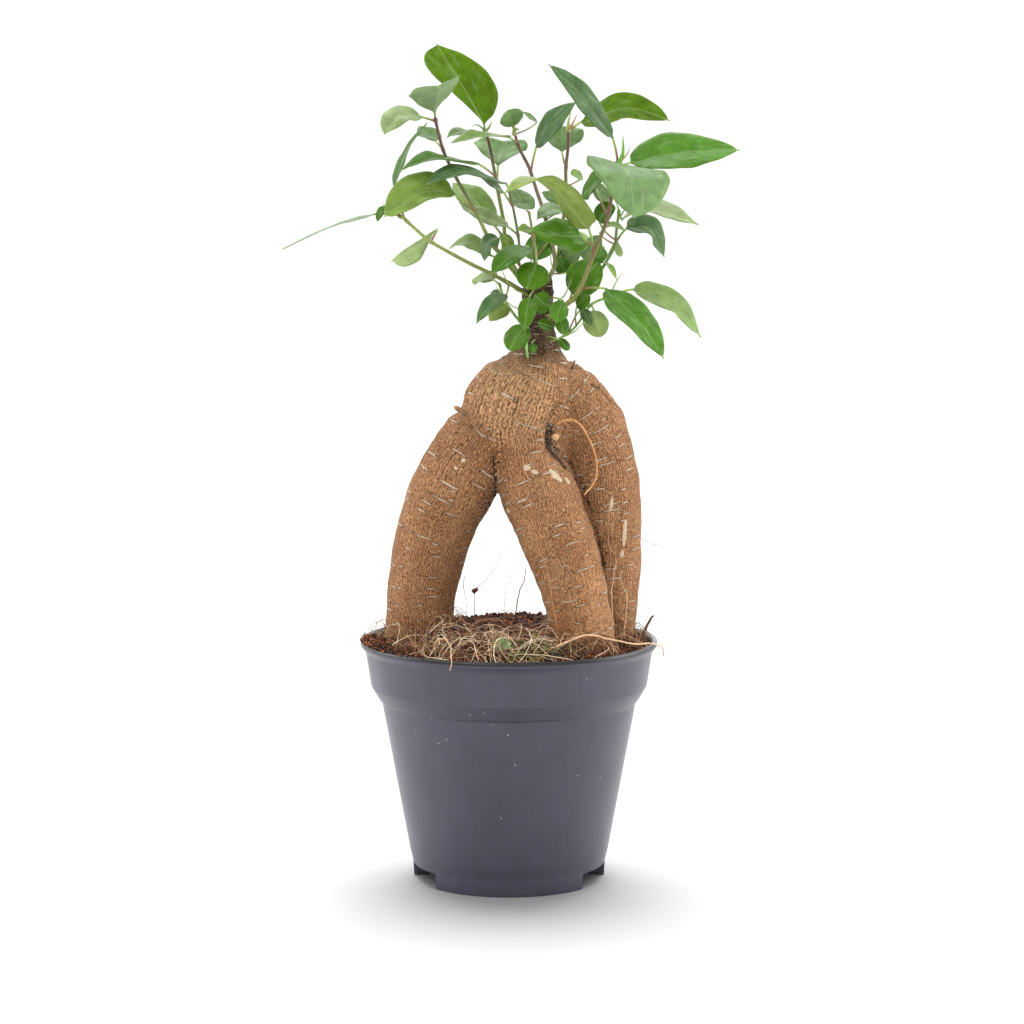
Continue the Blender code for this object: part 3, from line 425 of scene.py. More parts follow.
def value_noise(points, seed=0):
    """Smooth noise from -1 to 1, one lattice step to a unit: the values at the eight corners of each point's
    cell, each a scrambled number of its place, blended with 3t^2 - 2t^3 along each axis."""
    cell = np.floor(points).astype(np.int64)
    t = points - cell
    t = t * t * (3 - 2 * t)
    total = 0.0
    for corner in np.ndindex(2, 2, 2):
        x, y, z = (cell[..., k] + corner[k] for k in range(3))
        mixed = (x * 73856093) ^ (y * 19349663) ^ (z * 83492791) ^ (seed * 2654435761)
        mixed = ((mixed ^ (mixed >> 13)) * 1274126177) & 0x7FFFFFFF
        mixed = (mixed ^ (mixed >> 15)) & 0xFFFF
        weight = 1.0
        for k in range(3):
            weight = weight * (t[..., k] if corner[k] else 1 - t[..., k])
        total = total + weight * (mixed / 32767.5 - 1)
    return total


def ring_faces(rows, ring, closed=True):
    """Four-cornered faces between rows of points, each row a ring, or a strip if it isn't closed."""
    i, j = np.meshgrid(np.arange(rows - 1), np.arange(ring if closed else ring - 1), indexing="ij")
    i, j = i.ravel(), j.ravel()
    k = (j + 1) % ring
    return np.stack([i * ring + j, i * ring + k, (i + 1) * ring + k, (i + 1) * ring + j], 1)


def tube_faces(rows, ring, count=1, turned=True):
    """The walls, feet and heads of closed tubes, one after the other, each of so many rings of points. turned
    gives them the sense for points that run the other way round."""
    corners = np.arange(ring)[None]
    starts = np.arange(count)[:, None, None] * rows * ring
    sets = [ring_faces(rows, ring), corners[:, ::-1], (rows - 1) * ring + corners]
    return [(starts + (s[:, ::-1] if turned else s)).reshape(-1, s.shape[1]) for s in sets]


def around(radius, turn):
    """x and y at this radius and at this angle from the front, in radians to the right."""
    return radius * np.sin(turn), -radius * np.cos(turn)


def placed(name, data):
    """A new object with this data, in the scene."""
    made = bpy.data.objects.new(name, data)
    bpy.context.scene.collection.objects.link(made)
    return made


def read(members, field, size, kind=np.float32):
    """A field of all members of a part of a mesh, as rows of this size."""
    values = np.empty(len(members) * size, kind)
    members.foreach_get(field, values)
    return values.reshape(-1, size)


def final_mesh(made):
    """The object's mesh with its modifiers applied."""
    bpy.context.view_layer.update()
    return bpy.data.meshes.new_from_object(made.evaluated_get(bpy.context.evaluated_depsgraph_get()))


def mesh_piece(name, points, face_sets, materials, values=None, corner_map=None, which=None):
    """An object whose mesh has these points, in millimetres, and these faces, each set an array of corners. values
    are named numbers or vectors for each point; corner_map is a named pair of numbers for each face corner."""
    mesh = bpy.data.meshes.new(name)
    corners = np.concatenate([np.asarray(f).ravel() for f in face_sets])
    sizes = np.concatenate([np.full(len(f), np.shape(f)[1]) for f in face_sets])
    mesh.vertices.add(len(points))
    mesh.vertices.foreach_set("co", np.ascontiguousarray(points, np.float32).ravel() * np.float32(MM))
    mesh.loops.add(len(corners))
    mesh.loops.foreach_set("vertex_index", corners.astype(np.int32))
    mesh.polygons.add(len(sizes))
    mesh.polygons.foreach_set("loop_start", (np.cumsum(sizes) - sizes).astype(np.int32))
    mesh.update(calc_edges=True)
    for key, array in (values or {}).items():
        array = np.asarray(array, np.float32)
        kind, field = ("FLOAT", "value") if array.ndim == 1 else ("FLOAT_VECTOR", "vector")
        mesh.attributes.new(key, kind, "POINT").data.foreach_set(field, np.ascontiguousarray(array).ravel())
    if corner_map:
        key, array = corner_map
        mesh.uv_layers.new(name=key).data.foreach_set("uv", np.asarray(array, np.float32).ravel())
    for surface in materials:
        mesh.materials.append(surface)
    if which is not None:
        mesh.polygons.foreach_set("material_index", np.asarray(which, np.int32))
    mesh.shade_smooth()
    made = placed(name, mesh)
    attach(made, "root")
    return made


def frames_along(paths, sideways=None):
    """The unit vectors along, across and up at each point of each path. Across is at right angles to the path
    and to a fixed vector, which is the axis that the path runs along least unless it is given."""
    along = unit(np.gradient(paths, axis=-2))
    if sideways is None:
        mean = np.abs(along).mean(-2, keepdims=True)
        sideways = (mean == mean.min(-1, keepdims=True)).astype(float)
    across = unit(np.cross(along, sideways))
    return along, across, np.cross(across, along)


def tubes(paths, radii, sides):
    """Many closed tubes: paths is (tubes, points, 3) and radii (tubes, points). A ring at an angle t is at
    centre + r (cos t across + sin t up). Returns the points and the face sets."""
    _, across, up = frames_along(paths)
    t = 2 * np.pi * np.arange(sides) / sides
    spokes = np.cos(t)[:, None] * across[..., None, :] + np.sin(t)[:, None] * up[..., None, :]
    points = (paths[..., None, :] + radii[..., None, None] * spokes).reshape(-1, 3)
    count, rows = radii.shape
    return points, tube_faces(rows, sides, count)


# Materials -----------------------------------------------------------------------------------------------

# Sizes of the patterns, in millimetres
RIDGE_SPACING = 0.95  # bark ridges, from crest to crest round the limb
PORE_CELL = (11.0, 4.6)  # the patch of bark with one breathing pore, across and along
PORE_REACH = (1.0, 4.7)  # half the length of a pore
PORE_DEPTH = (0.2, 0.42)  # half its thickness
VEIN_SPACING = 2.9  # a leaf's side veins


def colour(code, alpha=True):
    """An sRGB hex code as linear numbers."""
    channels = [int(code[k:k + 2], 16) / 255 for k in (0, 2, 4)]
    linear = [c / 12.92 if c <= 0.04045 else ((c + 0.055) / 1.055) ** 2.4 for c in channels]
    return (*linear, 1.0) if alpha else np.array(linear)


def blend(first, second, share):
    """Two sRGB hex codes mixed as linear numbers, all the first at 0 and all the second at 1."""
    return colour(first, False) * (1 - share) + colour(second, False) * share


def add(tree, kind, links=None, **settings):
    """Adds a node with these settings. links gives each input a value, another node's output, or a node, which
    stands for its first output in use."""
    made = tree.nodes.new("ShaderNode" + kind)
    for key, value in settings.items():
        setattr(made, key, value)
    for key, value in (links or {}).items():
        if isinstance(value, bpy.types.Node):
            value = next(output for output in value.outputs if output.enabled)
        if isinstance(value, bpy.types.NodeSocket):
            tree.links.new(value, made.inputs[key])
        else:
            made.inputs[key].default_value = value
    return made


def new_material(name):
    """An empty material, its node tree and the object's own coordinates."""
    made = bpy.data.materials.new(name)
    made.use_nodes = True
    made.node_tree.nodes.clear()
    return made, made.node_tree, add(made.node_tree, "TexCoord").outputs["Object"]


def polypropylene():
    """Recycled polypropylene, injection moulded: a dull slate grey with a violet cast and a satin gloss, faint flow
    streaks up the wall, painted shade that makes the top of the rolled lip nearly black, and white specks of dust
    that lie in loose clusters."""
    made, tree, place = new_material("moulded_polypropylene")
    streaks = add(tree, "Mapping", {"Vector": place, "Scale": (260, 260, 14)})  # streaks 4 mm apart, 70 mm long
    flow = add(tree, "TexNoise", {"Vector": streaks, "Scale": 1.0, "Detail": 3.0, "Roughness": 0.6})
    cloud = add(tree, "TexNoise", {"Vector": place, "Scale": 55.0, "Detail": 2.0})
    shade = add(tree, "MapRange", {0: cloud, 1: 0.35, 2: 0.7, 3: 0.0, 4: 0.35})
    height = add(tree, "SeparateXYZ", {0: place}).outputs[2]
    # Painted shade: the top of the rolled lip is painted nearly black
    lip = add(tree, "MapRange", {0: height, 1: (RIM_TOP - 1.9) * MM, 2: (RIM_TOP - 1.2) * MM})
    spots = add(tree, "TexVoronoi", {"Vector": place, "Scale": 330.0}, feature="F1")  # a cell to 3 mm
    speck = add(tree, "MapRange", {0: spots.outputs["Distance"], 1: 0.045, 2: 0.085, 3: 1.0, 4: 0.0})
    chosen = add(tree, "SeparateColor", {0: spots.outputs["Color"]})
    chosen = add(tree, "Math", {0: cloud, 1: 0.6, 2: chosen}, operation="MULTIPLY_ADD")
    chosen = add(tree, "Math", {0: chosen, 1: 1.18}, operation="GREATER_THAN")
    dust = add(tree, "Math", {0: speck, 1: chosen}, operation="MULTIPLY")
    tint = add(tree, "Mix", {0: flow, 6: colour("373541"), 7: colour("43404f")}, data_type="RGBA")
    for share, code in ((shade, "494655"), (lip, "080b0d"), (dust, "d9d8dc")):
        tint = add(tree, "Mix", {0: share, 6: tint, 7: colour(code)}, data_type="RGBA")
    rough = add(tree, "MapRange", {0: flow, 1: 0.3, 2: 0.7, 3: 0.3, 4: 0.38})
    grain = add(tree, "TexNoise", {"Vector": place, "Scale": 1400.0, "Detail": 2.0})
    bump = add(tree, "Bump", {"Height": grain, "Strength": 0.12, "Distance": 0.2 * MM})
    wall = add(tree, "BsdfPrincipled", {"Base Color": tint, "Roughness": rough, "Normal": bump, "IOR": 1.49})
    add(tree, "OutputMaterial", {0: wall})
    return made


def ficus_bark():
    """Fig bark, grown: brown cork with fine wavy ridges and cracks along the limb, with a painted highlight on the
    ridges and painted shade in the grooves and cracks over their own darker colour, and pale raised breathing pores
    across it with painted shade round them. The crown is a lighter tan, the neck of old wood darker and flecked.
    Painted light makes the cork lighter low on the front and right legs, and painted shade makes it darker on the
    crown's left shoulder. Rusty rootlets cling to the legs, crumbs lie in the folds, which painted shade darkens
    too, and scars have healed pale."""
    made, tree, place = new_material("ficus_bark")
    flat = add(tree, "UVMap", uv_map="limb")  # millimetres round and along the limb
    crown, fold, neck, scar, web, painted_light_and_shade = (
        add(tree, "Attribute", attribute_name=name).outputs["Fac"]
        for name in ("crown", "fold", "neck", "scar", "web", "painted_light_and_shade"))

    wander = add(tree, "TexNoise", {"Vector": flat, "Scale": 0.2, "Detail": 3.0}, noise_dimensions="2D")
    offset = add(tree, "VectorMath", {0: wander.outputs["Color"], 1: (0.5, 0.5, 0.5)}, operation="SUBTRACT")
    offset = add(tree, "VectorMath", {0: offset, "Scale": 2.4}, operation="SCALE")
    bent = add(tree, "VectorMath", {0: flat, 1: offset}, operation="ADD")

    # Noises drawn out along the limb, each with its steps to a millimetre across and along, detail and roughness
    noises = []
    for source, steps, detail, roughness in (
            (flat, (0.15, 0.08, 1), 1.0, 0.5), (flat, (0.62, 0.42, 1), 2.0, 0.5), (flat, (0.9, 0.6, 1), 1.0, 0.5),
            (bent, (2.2, 0.95, 1), 3.0, 0.75), (bent, (0.55, 1.5, 1), 2.0, 0.65)):
        drawn = add(tree, "Mapping", {"Vector": source, "Scale": steps})
        noises.append(add(tree, "TexNoise", {"Vector": drawn, "Scale": 1.0, "Detail": detail,
                                             "Roughness": roughness}, noise_dimensions="2D"))
    meander, jitter, gaps, fine, flecks = noises

    # Ridges: the sine of the way round, pushed to and fro by two noises and broken by a third
    round_way = add(tree, "SeparateXYZ", {0: flat})
    phase = add(tree, "Math", {0: meander, 1: 13.0}, operation="MULTIPLY")
    phase = add(tree, "Math", {0: jitter, 1: 7.0, 2: phase}, operation="MULTIPLY_ADD")
    turns = 2 * math.pi / RIDGE_SPACING
    phase = add(tree, "Math", {0: round_way, 1: turns, 2: phase}, operation="MULTIPLY_ADD")
    wave = add(tree, "Math", {0: phase}, operation="SINE")
    gaps = add(tree, "MapRange", {0: gaps, 1: 0.35, 2: 0.6, 3: 0.15, 4: 1.0})
    fine = add(tree, "MapRange", {0: fine, 1: 0.28, 2: 0.72, 3: -0.9, 4: 0.9})
    wave = add(tree, "Math", {0: wave, 1: gaps}, operation="MULTIPLY")
    ridge = add(tree, "Math", {0: wave, 1: 0.45, 2: fine}, operation="MULTIPLY_ADD")
    # The grooves are painted darker, partly their own colour and partly painted shade
    groove_tint_and_shade = add(tree, "MapRange", {0: ridge, 1: -0.5, 2: 0.05, 3: 0.86, 4: 0.0})
    crest = add(tree, "MapRange", {0: ridge, 1: 0.1, 2: 0.6, 3: 0.0, 4: 1.0})
    # Cracks: the troughs of the same sine at 0.43 of its pace, wider on the crown, painted dark below, partly their
    # own colour and partly painted shade
    slow = add(tree, "Math", {0: phase, 1: 0.43}, operation="MULTIPLY")
    slow = add(tree, "Math", {0: slow}, operation="SINE")
    crack = add(tree, "MapRange", {0: slow, 1: -1.0, 2: -0.72, 3: 1.0, 4: 0.0})
    crack = add(tree, "Math", {0: crack, 1: gaps}, operation="MULTIPLY")
    share = add(tree, "MapRange", {0: crown, 3: 0.4, 4: 0.7})
    crack = add(tree, "Math", {0: crack, 1: share}, operation="MULTIPLY")

    # Breathing pores: one to a cell, a fine dash across the limb with a dark lip of painted shade round it
    wide, high = PORE_CELL
    cells = add(tree, "Mapping", {"Vector": flat, "Scale": (1 / wide, 1 / high, 1)})
    pores = add(tree, "TexVoronoi", {"Vector": cells, "Scale": 1.0, "Randomness": 0.85}, feature="F1",
                voronoi_dimensions="2D")
    away = add(tree, "VectorMath", {0: cells, 1: pores.outputs["Position"]}, operation="SUBTRACT")
    away = add(tree, "VectorMath", {0: away, 1: (wide, high, 0)}, operation="MULTIPLY")
    shake = add(tree, "VectorMath", {0: offset, "Scale": 0.16}, operation="SCALE")
    away = add(tree, "VectorMath", {0: away, 1: shake}, operation="ADD")
    away = add(tree, "SeparateXYZ", {0: away})
    lot = add(tree, "SeparateColor", {0: pores.outputs["Color"]})
    reach = add(tree, "MapRange", {0: lot.outputs[0], 3: PORE_REACH[0], 4: PORE_REACH[1]})
    thick = add(tree, "MapRange", {0: jitter, 1: 0.3, 2: 0.7, 3: PORE_DEPTH[0], 4: PORE_DEPTH[1]})
    squares = []
    for distance, half in ((away.outputs[0], reach), (away.outputs[1], thick)):
        part = add(tree, "Math", {0: distance, 1: half}, operation="DIVIDE")
        squares.append(add(tree, "Math", {0: part, 1: 2.0}, operation="POWER"))
    spot = add(tree, "Math", {0: squares[0], 1: squares[1]}, operation="ADD")
    pore = add(tree, "MapRange", {0: spot, 1: 0.4, 2: 1.1, 3: 0.92, 4: 0.0})
    # The lip: painted shade round the raised pore
    lip = add(tree, "MapRange", {0: spot, 1: 1.0, 2: 4.0, 3: 0.5, 4: 0.0})
    some = add(tree, "Math", {0: lot.outputs[1], 1: 0.22}, operation="GREATER_THAN")
    pore = add(tree, "Math", {0: pore, 1: some}, operation="MULTIPLY")
    lip = add(tree, "Math", {0: lip, 1: some}, operation="MULTIPLY")
    legs = add(tree, "MapRange", {0: crown, 3: 1.0, 4: 0.8})
    pore = add(tree, "Math", {0: pore, 1: legs}, operation="MULTIPLY")

    # Rusty rootlets netted over the lower legs: the lines where a 6 mm noise passes its middle
    net = add(tree, "TexNoise", {"Vector": bent, "Scale": 0.16, "Detail": 2.0, "Distortion": 0.8},
              noise_dimensions="2D")
    net = add(tree, "Math", {0: net, 1: 0.5}, operation="SUBTRACT")
    net = add(tree, "Math", {0: net}, operation="ABSOLUTE")
    net = add(tree, "MapRange", {0: net, 1: 0.004, 2: 0.011, 3: 0.8, 4: 0.0})
    net = add(tree, "Math", {0: net, 1: web}, operation="MULTIPLY")

    # Colours, laid one over the other
    patch = add(tree, "TexNoise", {"Vector": place, "Scale": 70.0, "Detail": 4.0, "Roughness": 0.6})
    patch = add(tree, "MapRange", {0: patch, 1: 0.35, 2: 0.65})
    rust = add(tree, "TexNoise", {"Vector": place, "Scale": 240.0, "Detail": 3.0})
    rust = add(tree, "MapRange", {0: rust, 1: 0.52, 2: 0.72, 3: 0.0, 4: 0.5})
    # A painted highlight on the ridge crests, fainter on the neck
    bright = add(tree, "MapRange", {0: neck, 3: 0.72, 4: 0.25})
    bright = add(tree, "Math", {0: crest, 1: bright}, operation="MULTIPLY")
    # Dark in the cracks: partly their own colour, partly painted shade
    dark = add(tree, "Math", {0: crack, 1: 0.82}, operation="MULTIPLY")
    scar = add(tree, "MapRange", {0: scar, 1: 0.3, 2: 0.6})
    flecks = add(tree, "MapRange", {0: flecks, 1: 0.58, 2: 0.66, 3: 0.0, 4: 0.75})
    flecks = add(tree, "Math", {0: flecks, 1: neck}, operation="MULTIPLY")
    base = add(tree, "Mix", {0: patch, 6: colour("bc7f53"), 7: colour("dba070")}, data_type="RGBA")
    base = add(tree, "Mix", {0: crown, 6: base, 7: colour("d7a575")}, data_type="RGBA")
    # Painted light and shade: lighter low on the front and right legs, darker on the crown's left shoulder
    light = add(tree, "MapRange", {0: painted_light_and_shade, 3: 0.78, 4: 1.32})
    base = add(tree, "VectorMath", {0: base, "Scale": light}, operation="SCALE")
    for share, code in ((rust, "a96632"), (neck, "4a3526"), (bright, "f1c08a"), (groove_tint_and_shade, "5f381c"),
                        (dark, "38240f"), (net, "b4713c"), (lip, "4a2c16"), (pore, "f2dcc0"), (scar, "fde4c2"),
                        (flecks, "c0ac94")):
        base = add(tree, "Mix", {0: share, 6: base, 7: colour(code)}, data_type="RGBA")

    # Soil caught in the folds, ragged at its edge; its dark colour also stands for the shade in the folds, as
    # painted shade
    crumbs = add(tree, "TexNoise", {"Vector": place, "Scale": 1500.0, "Detail": 2.0, "Roughness": 0.6})
    caught = add(tree, "MapRange", {0: crumbs, 1: 0.3, 2: 0.7, 3: -0.35, 4: 0.35})
    caught = add(tree, "Math", {0: fold, 1: caught}, operation="ADD")
    caught = add(tree, "MapRange", {0: caught, 1: 0.3, 2: 0.75})
    caught = add(tree, "Math", {0: caught, 1: fold, 2: 0.0}, operation="SMOOTH_MIN")
    caught = add(tree, "MapRange", {0: caught, 1: 0.05, 2: 0.6, 4: 0.92})
    soil = add(tree, "MapRange", {0: crumbs, 1: 0.62, 2: 0.72})
    soil = add(tree, "Mix", {0: soil, 6: colour("2a1c12"), 7: colour("b9a286")}, data_type="RGBA")
    base = add(tree, "Mix", {0: caught, 6: base, 7: soil}, data_type="RGBA")

    grain = add(tree, "TexNoise", {"Vector": place, "Scale": 1100.0, "Detail": 2.0})
    relief = add(tree, "Math", {0: crack, 1: -0.5}, operation="MULTIPLY")
    for part, height in ((ridge, 0.6), (pore, 0.45), (net, 0.4), (grain, 0.4)):
        relief = add(tree, "Math", {0: part, 1: height, 2: relief}, operation="MULTIPLY_ADD")
    bump = add(tree, "Bump", {"Height": relief, "Strength": 1.0, "Distance": 1.0 * MM})
    cork = add(tree, "BsdfPrincipled", {"Base Color": base, "Roughness": 0.82, "Normal": bump,
                                        "Specular IOR Level": 0.3})
    add(tree, "OutputMaterial", {0: cork})
    return made


def leaf_side(name, side, tints, rib_rise, gloss):
    """A fig leaf's skin, waxy and deep green above, paler and duller below. The midrib is a fine pale line, faint
    side veins run off it at a slant, the margin is thin and lets light through and is painted a light yellow-green
    for that light, and a pale painted sheen lies in streaks along the blade. tints are the shares of painted sheen,
    veins and midrib; rib_rise is how far the midrib stands out, or sinks in if below 0; and gloss is the least and
    the most roughness."""
    made, tree, place = new_material(name)
    tone = add(tree, "Attribute", attribute_name=side).outputs["Vector"]
    spread = add(tree, "SeparateXYZ", {0: add(tree, "Attribute", attribute_name="blade").outputs["Vector"]})
    from_rib, along, edge = spread.outputs
    across = add(tree, "Math", {0: from_rib}, operation="ABSOLUTE")

    mottle = add(tree, "TexNoise", {"Vector": place, "Scale": 210.0, "Detail": 3.0})
    turns = add(tree, "Math", {0: across, 1: -0.62, 2: along}, operation="MULTIPLY_ADD")
    turns = add(tree, "Math", {0: mottle, 1: 2.2, 2: turns}, operation="MULTIPLY_ADD")
    turns = add(tree, "Math", {0: turns, 1: 1 / VEIN_SPACING}, operation="MULTIPLY")
    turns = add(tree, "Math", {0: turns}, operation="FRACT")
    turns = add(tree, "Math", {0: turns, 1: 0.5}, operation="SUBTRACT")
    turns = add(tree, "Math", {0: turns}, operation="ABSOLUTE")
    vein = add(tree, "MapRange", {0: turns, 1: 0.0, 2: 0.16, 3: 1.0, 4: 0.0}, interpolation_type="SMOOTHSTEP")
    midrib = add(tree, "MapRange", {0: across, 1: 0.06, 2: 0.34, 3: 1.0, 4: 0.0})
    margin = add(tree, "MapRange", {0: edge, 1: 0.93, 2: 1.0})

    light = add(tree, "MapRange", {0: mottle, 1: 0.3, 2: 0.7, 3: 0.8, 4: 1.2})
    base = add(tree, "VectorMath", {0: tone, "Scale": light}, operation="SCALE")
    # A painted sheen: pale streaks along the blade
    rise = add(tree, "SeparateXYZ", {0: place}).outputs[2]
    rise = add(tree, "Math", {0: rise, 1: 60.0}, operation="MULTIPLY")  # so that no two leaves have the same streaks
    painted_sheen = add(tree, "CombineXYZ", {0: from_rib, 1: along, 2: rise})
    painted_sheen = add(tree, "Mapping", {"Vector": painted_sheen, "Scale": (0.6, 0.13, 1.0)})
    painted_sheen = add(tree, "TexNoise", {"Vector": painted_sheen, "Scale": 1.0, "Detail": 2.0})
    painted_sheen = add(tree, "MapRange", {0: painted_sheen, 1: 0.53, 2: 0.74, 3: 0.0, 4: tints[0]})
    base = add(tree, "Mix", {0: painted_sheen, 6: base, 7: colour("b2c4a6")}, data_type="RGBA")
    # Pale veins and midrib, and the margin's light yellow-green, which is painted light for the light through it
    for part, strength, code in ((vein, tints[1], "c3d8a4"), (midrib, tints[2], "c6d9a2"), (margin, 0.65, "9fc45a")):
        share = add(tree, "Math", {0: part, 1: strength}, operation="MULTIPLY")
        base = add(tree, "Mix", {0: share, 6: base, 7: colour(code)}, data_type="RGBA")

    relief = add(tree, "Math", {0: vein, 1: rib_rise * 0.2}, operation="MULTIPLY")
    cells = add(tree, "TexNoise", {"Vector": place, "Scale": 1500.0, "Detail": 1.0})
    for part, height in ((midrib, rib_rise), (cells, 0.05)):
        relief = add(tree, "Math", {0: part, 1: height, 2: relief}, operation="MULTIPLY_ADD")
    bump = add(tree, "Bump", {"Height": relief, "Strength": 0.5, "Distance": 0.4 * MM})
    rough = add(tree, "MapRange", {0: mottle, 3: gloss[0], 4: gloss[1]})
    skin = add(tree, "BsdfPrincipled", {"Base Color": base, "Roughness": rough, "Normal": bump, "IOR": 1.45,
                                        "Specular IOR Level": 0.18})
    through = add(tree, "VectorMath", {0: base, 1: (1.3, 1.2, 0.3)}, operation="MULTIPLY")
    glow = add(tree, "BsdfTranslucent", {"Color": through})
    add(tree, "OutputMaterial", {0: add(tree, "MixShader", {0: 0.3, 1: skin, 2: glow})})
    return made


def toned(name, roughness, grain_scale, bump_depth, variation=0.25):
    """Plant fibre, bark of young shoots or crumbs: the piece's own tone, mottled, with a fine grain."""
    made, tree, place = new_material(name)
    tone = add(tree, "Attribute", attribute_name="tone").outputs["Vector"]
    grain = add(tree, "TexNoise", {"Vector": place, "Scale": grain_scale, "Detail": 3.0})
    light = add(tree, "MapRange", {0: grain, 1: 0.3, 2: 0.7, 3: 1 - variation, 4: 1 + variation})
    base = add(tree, "VectorMath", {0: tone, "Scale": light}, operation="SCALE")
    bump = add(tree, "Bump", {"Height": grain, "Strength": 0.6, "Distance": bump_depth * MM})
    body = add(tree, "BsdfPrincipled", {"Base Color": base, "Roughness": roughness, "Normal": bump})
    add(tree, "OutputMaterial", {0: body})
    return made


def paper_floor():
    """Matt white paper: a plain pale sweep with the faintest tooth."""
    made, tree, place = new_material("paper_sweep")
    tooth = add(tree, "TexNoise", {"Vector": place, "Scale": 400.0})
    base = add(tree, "Mix", {0: tooth, 6: colour("b8b8b8"), 7: colour("bcbcbc")}, data_type="RGBA")
    sheet = add(tree, "BsdfPrincipled", {"Base Color": base, "Roughness": 0.9, "Specular IOR Level": 0.2})
    add(tree, "OutputMaterial", {0: sheet})
    return made


# Pot -----------------------------------------------------------------------------------------------------


def rounded(profile, radius, steps=4):
    """The profile with each corner replaced by a parabola that starts and ends this far from it, or halfway to
    the next corner if that is nearer."""
    points = np.asarray(profile, float)
    out = [points[:1]]
    for before, corner, after in zip(points, points[1:], points[2:]):
        back, on = before - corner, after - corner
        cut = min(radius, np.linalg.norm(back) / 2.2, np.linalg.norm(on) / 2.2)
        start, end = corner + unit(back) * cut, corner + unit(on) * cut
        t = np.linspace(0, 1, steps)[:, None]
        out.append(start * (1 - t) ** 2 + corner * 2 * t * (1 - t) + end * t * t)
    out.append(points[-1:])
    return np.vstack(out)


def build_pot(surface):
    """The pot's section turned about Z: at an angle t from the front a point is at (r sin t, -r cos t, z). Between
    the notch angles, the skirt's lowest points are lifted to the notch's height."""
    lip = ((RIM_RADIUS - 0.7, 94.8), (RIM_RADIUS, 95.4), (RIM_RADIUS, RIM_TOP - 0.5), (RIM_RADIUS - 0.5, RIM_TOP))
    outer = ((BASE_RADIUS, 0), (BASE_RADIUS + 0.45, 7.0), (BASE_RADIUS + 1.7, 12.0), LEDGE_FOOT,
             (LEDGE_FOOT[0] + 1.1, LEDGE_FOOT[1] + 0.9), BAND_FOOT, BAND_TOP, *lip)
    inner_lip = ((BAND_TOP[0] + 0.3, RIM_TOP), (BAND_TOP[0] - 0.5, RIM_TOP - 1.0))
    inside = [(r - WALL, z) for r, z in (BAND_TOP, BAND_FOOT, LEDGE_FOOT)]
    floor_top = FLOOR_UNDERSIDE + FLOOR_THICKNESS
    floor = ((BASE_RADIUS - 0.2, floor_top), (20, floor_top), (0, floor_top))
    under = ((0, FLOOR_UNDERSIDE), (20, FLOOR_UNDERSIDE), (BASE_RADIUS - WALL - 0.2, FLOOR_UNDERSIDE),
             (BASE_RADIUS - WALL, 0))
    profile = rounded([*under, *outer, *inner_lip, *inside, *floor], EDGE_ROUNDING)
    edges = np.array([a for pair in NOTCH_ANGLES for a in pair])
    edges = np.concatenate([edges, 360 - edges])
    angles = np.unique(np.concatenate([np.arange(POT_STEPS) * 360 / POT_STEPS, edges - 0.12, edges + 0.12]))
    turned = np.minimum(angles, 360 - angles)
    open_here = np.zeros(len(angles), bool)
    for low, high in NOTCH_ANGLES:
        open_here |= (turned > low) & (turned < high)
    t = np.radians(angles)
    r, z = profile[:, :1], np.repeat(profile[:, 1:], len(t), axis=1)
    z = np.where(open_here & (r > BASE_RADIUS - WALL - 0.5) & (z < NOTCH_HEIGHT), NOTCH_HEIGHT + z * 0.02, z)
    points = np.stack([*around(r, t), z], -1).reshape(-1, 3)
    pot = mesh_piece("pot_shell", points, [ring_faces(len(profile), len(t))], [surface])
    holes = drain_cutter()
    mesh = bmesh.new()
    mesh.from_mesh(pot.data)
    bmesh.ops.remove_doubles(mesh, verts=mesh.verts, dist=0.005 * MM)
    bmesh.ops.recalc_face_normals(mesh, faces=mesh.faces)
    mesh.to_mesh(pot.data)
    mesh.free()
    cut = pot.modifiers.new("drain_holes", "BOOLEAN")
    cut.operation, cut.object = "DIFFERENCE", holes
    shape = final_mesh(pot)
    pot.modifiers.clear()
    pot.data = shape
    shape.set_sharp_from_angle(angle=math.radians(40))
    bpy.data.objects.remove(holes)
    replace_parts(pot, "pot")
    for side, word in ((-1, "left"), (1, "right")):
        side_foot(side, word, surface)


def drain_cutter():
    """Upright cylinders at the drain holes, as one mesh."""
    mesh = bmesh.new()
    for k in range(DRAIN_HOLES):
        turn = 2 * math.pi * k / DRAIN_HOLES
        made = bmesh.ops.create_cone(mesh, cap_ends=True, segments=32, radius1=DRAIN_HOLE_RADIUS * MM,
                                     radius2=DRAIN_HOLE_RADIUS * MM, depth=6 * MM)
        place = (*around(DRAIN_RING_RADIUS, turn), FLOOR_UNDERSIDE + FLOOR_THICKNESS / 2)
        bmesh.ops.translate(mesh, verts=made["verts"], vec=Vector(place) * MM)
    data = bpy.data.meshes.new("drain_cutter")
    mesh.to_mesh(data)
    mesh.free()
    return placed("drain_cutter", data)


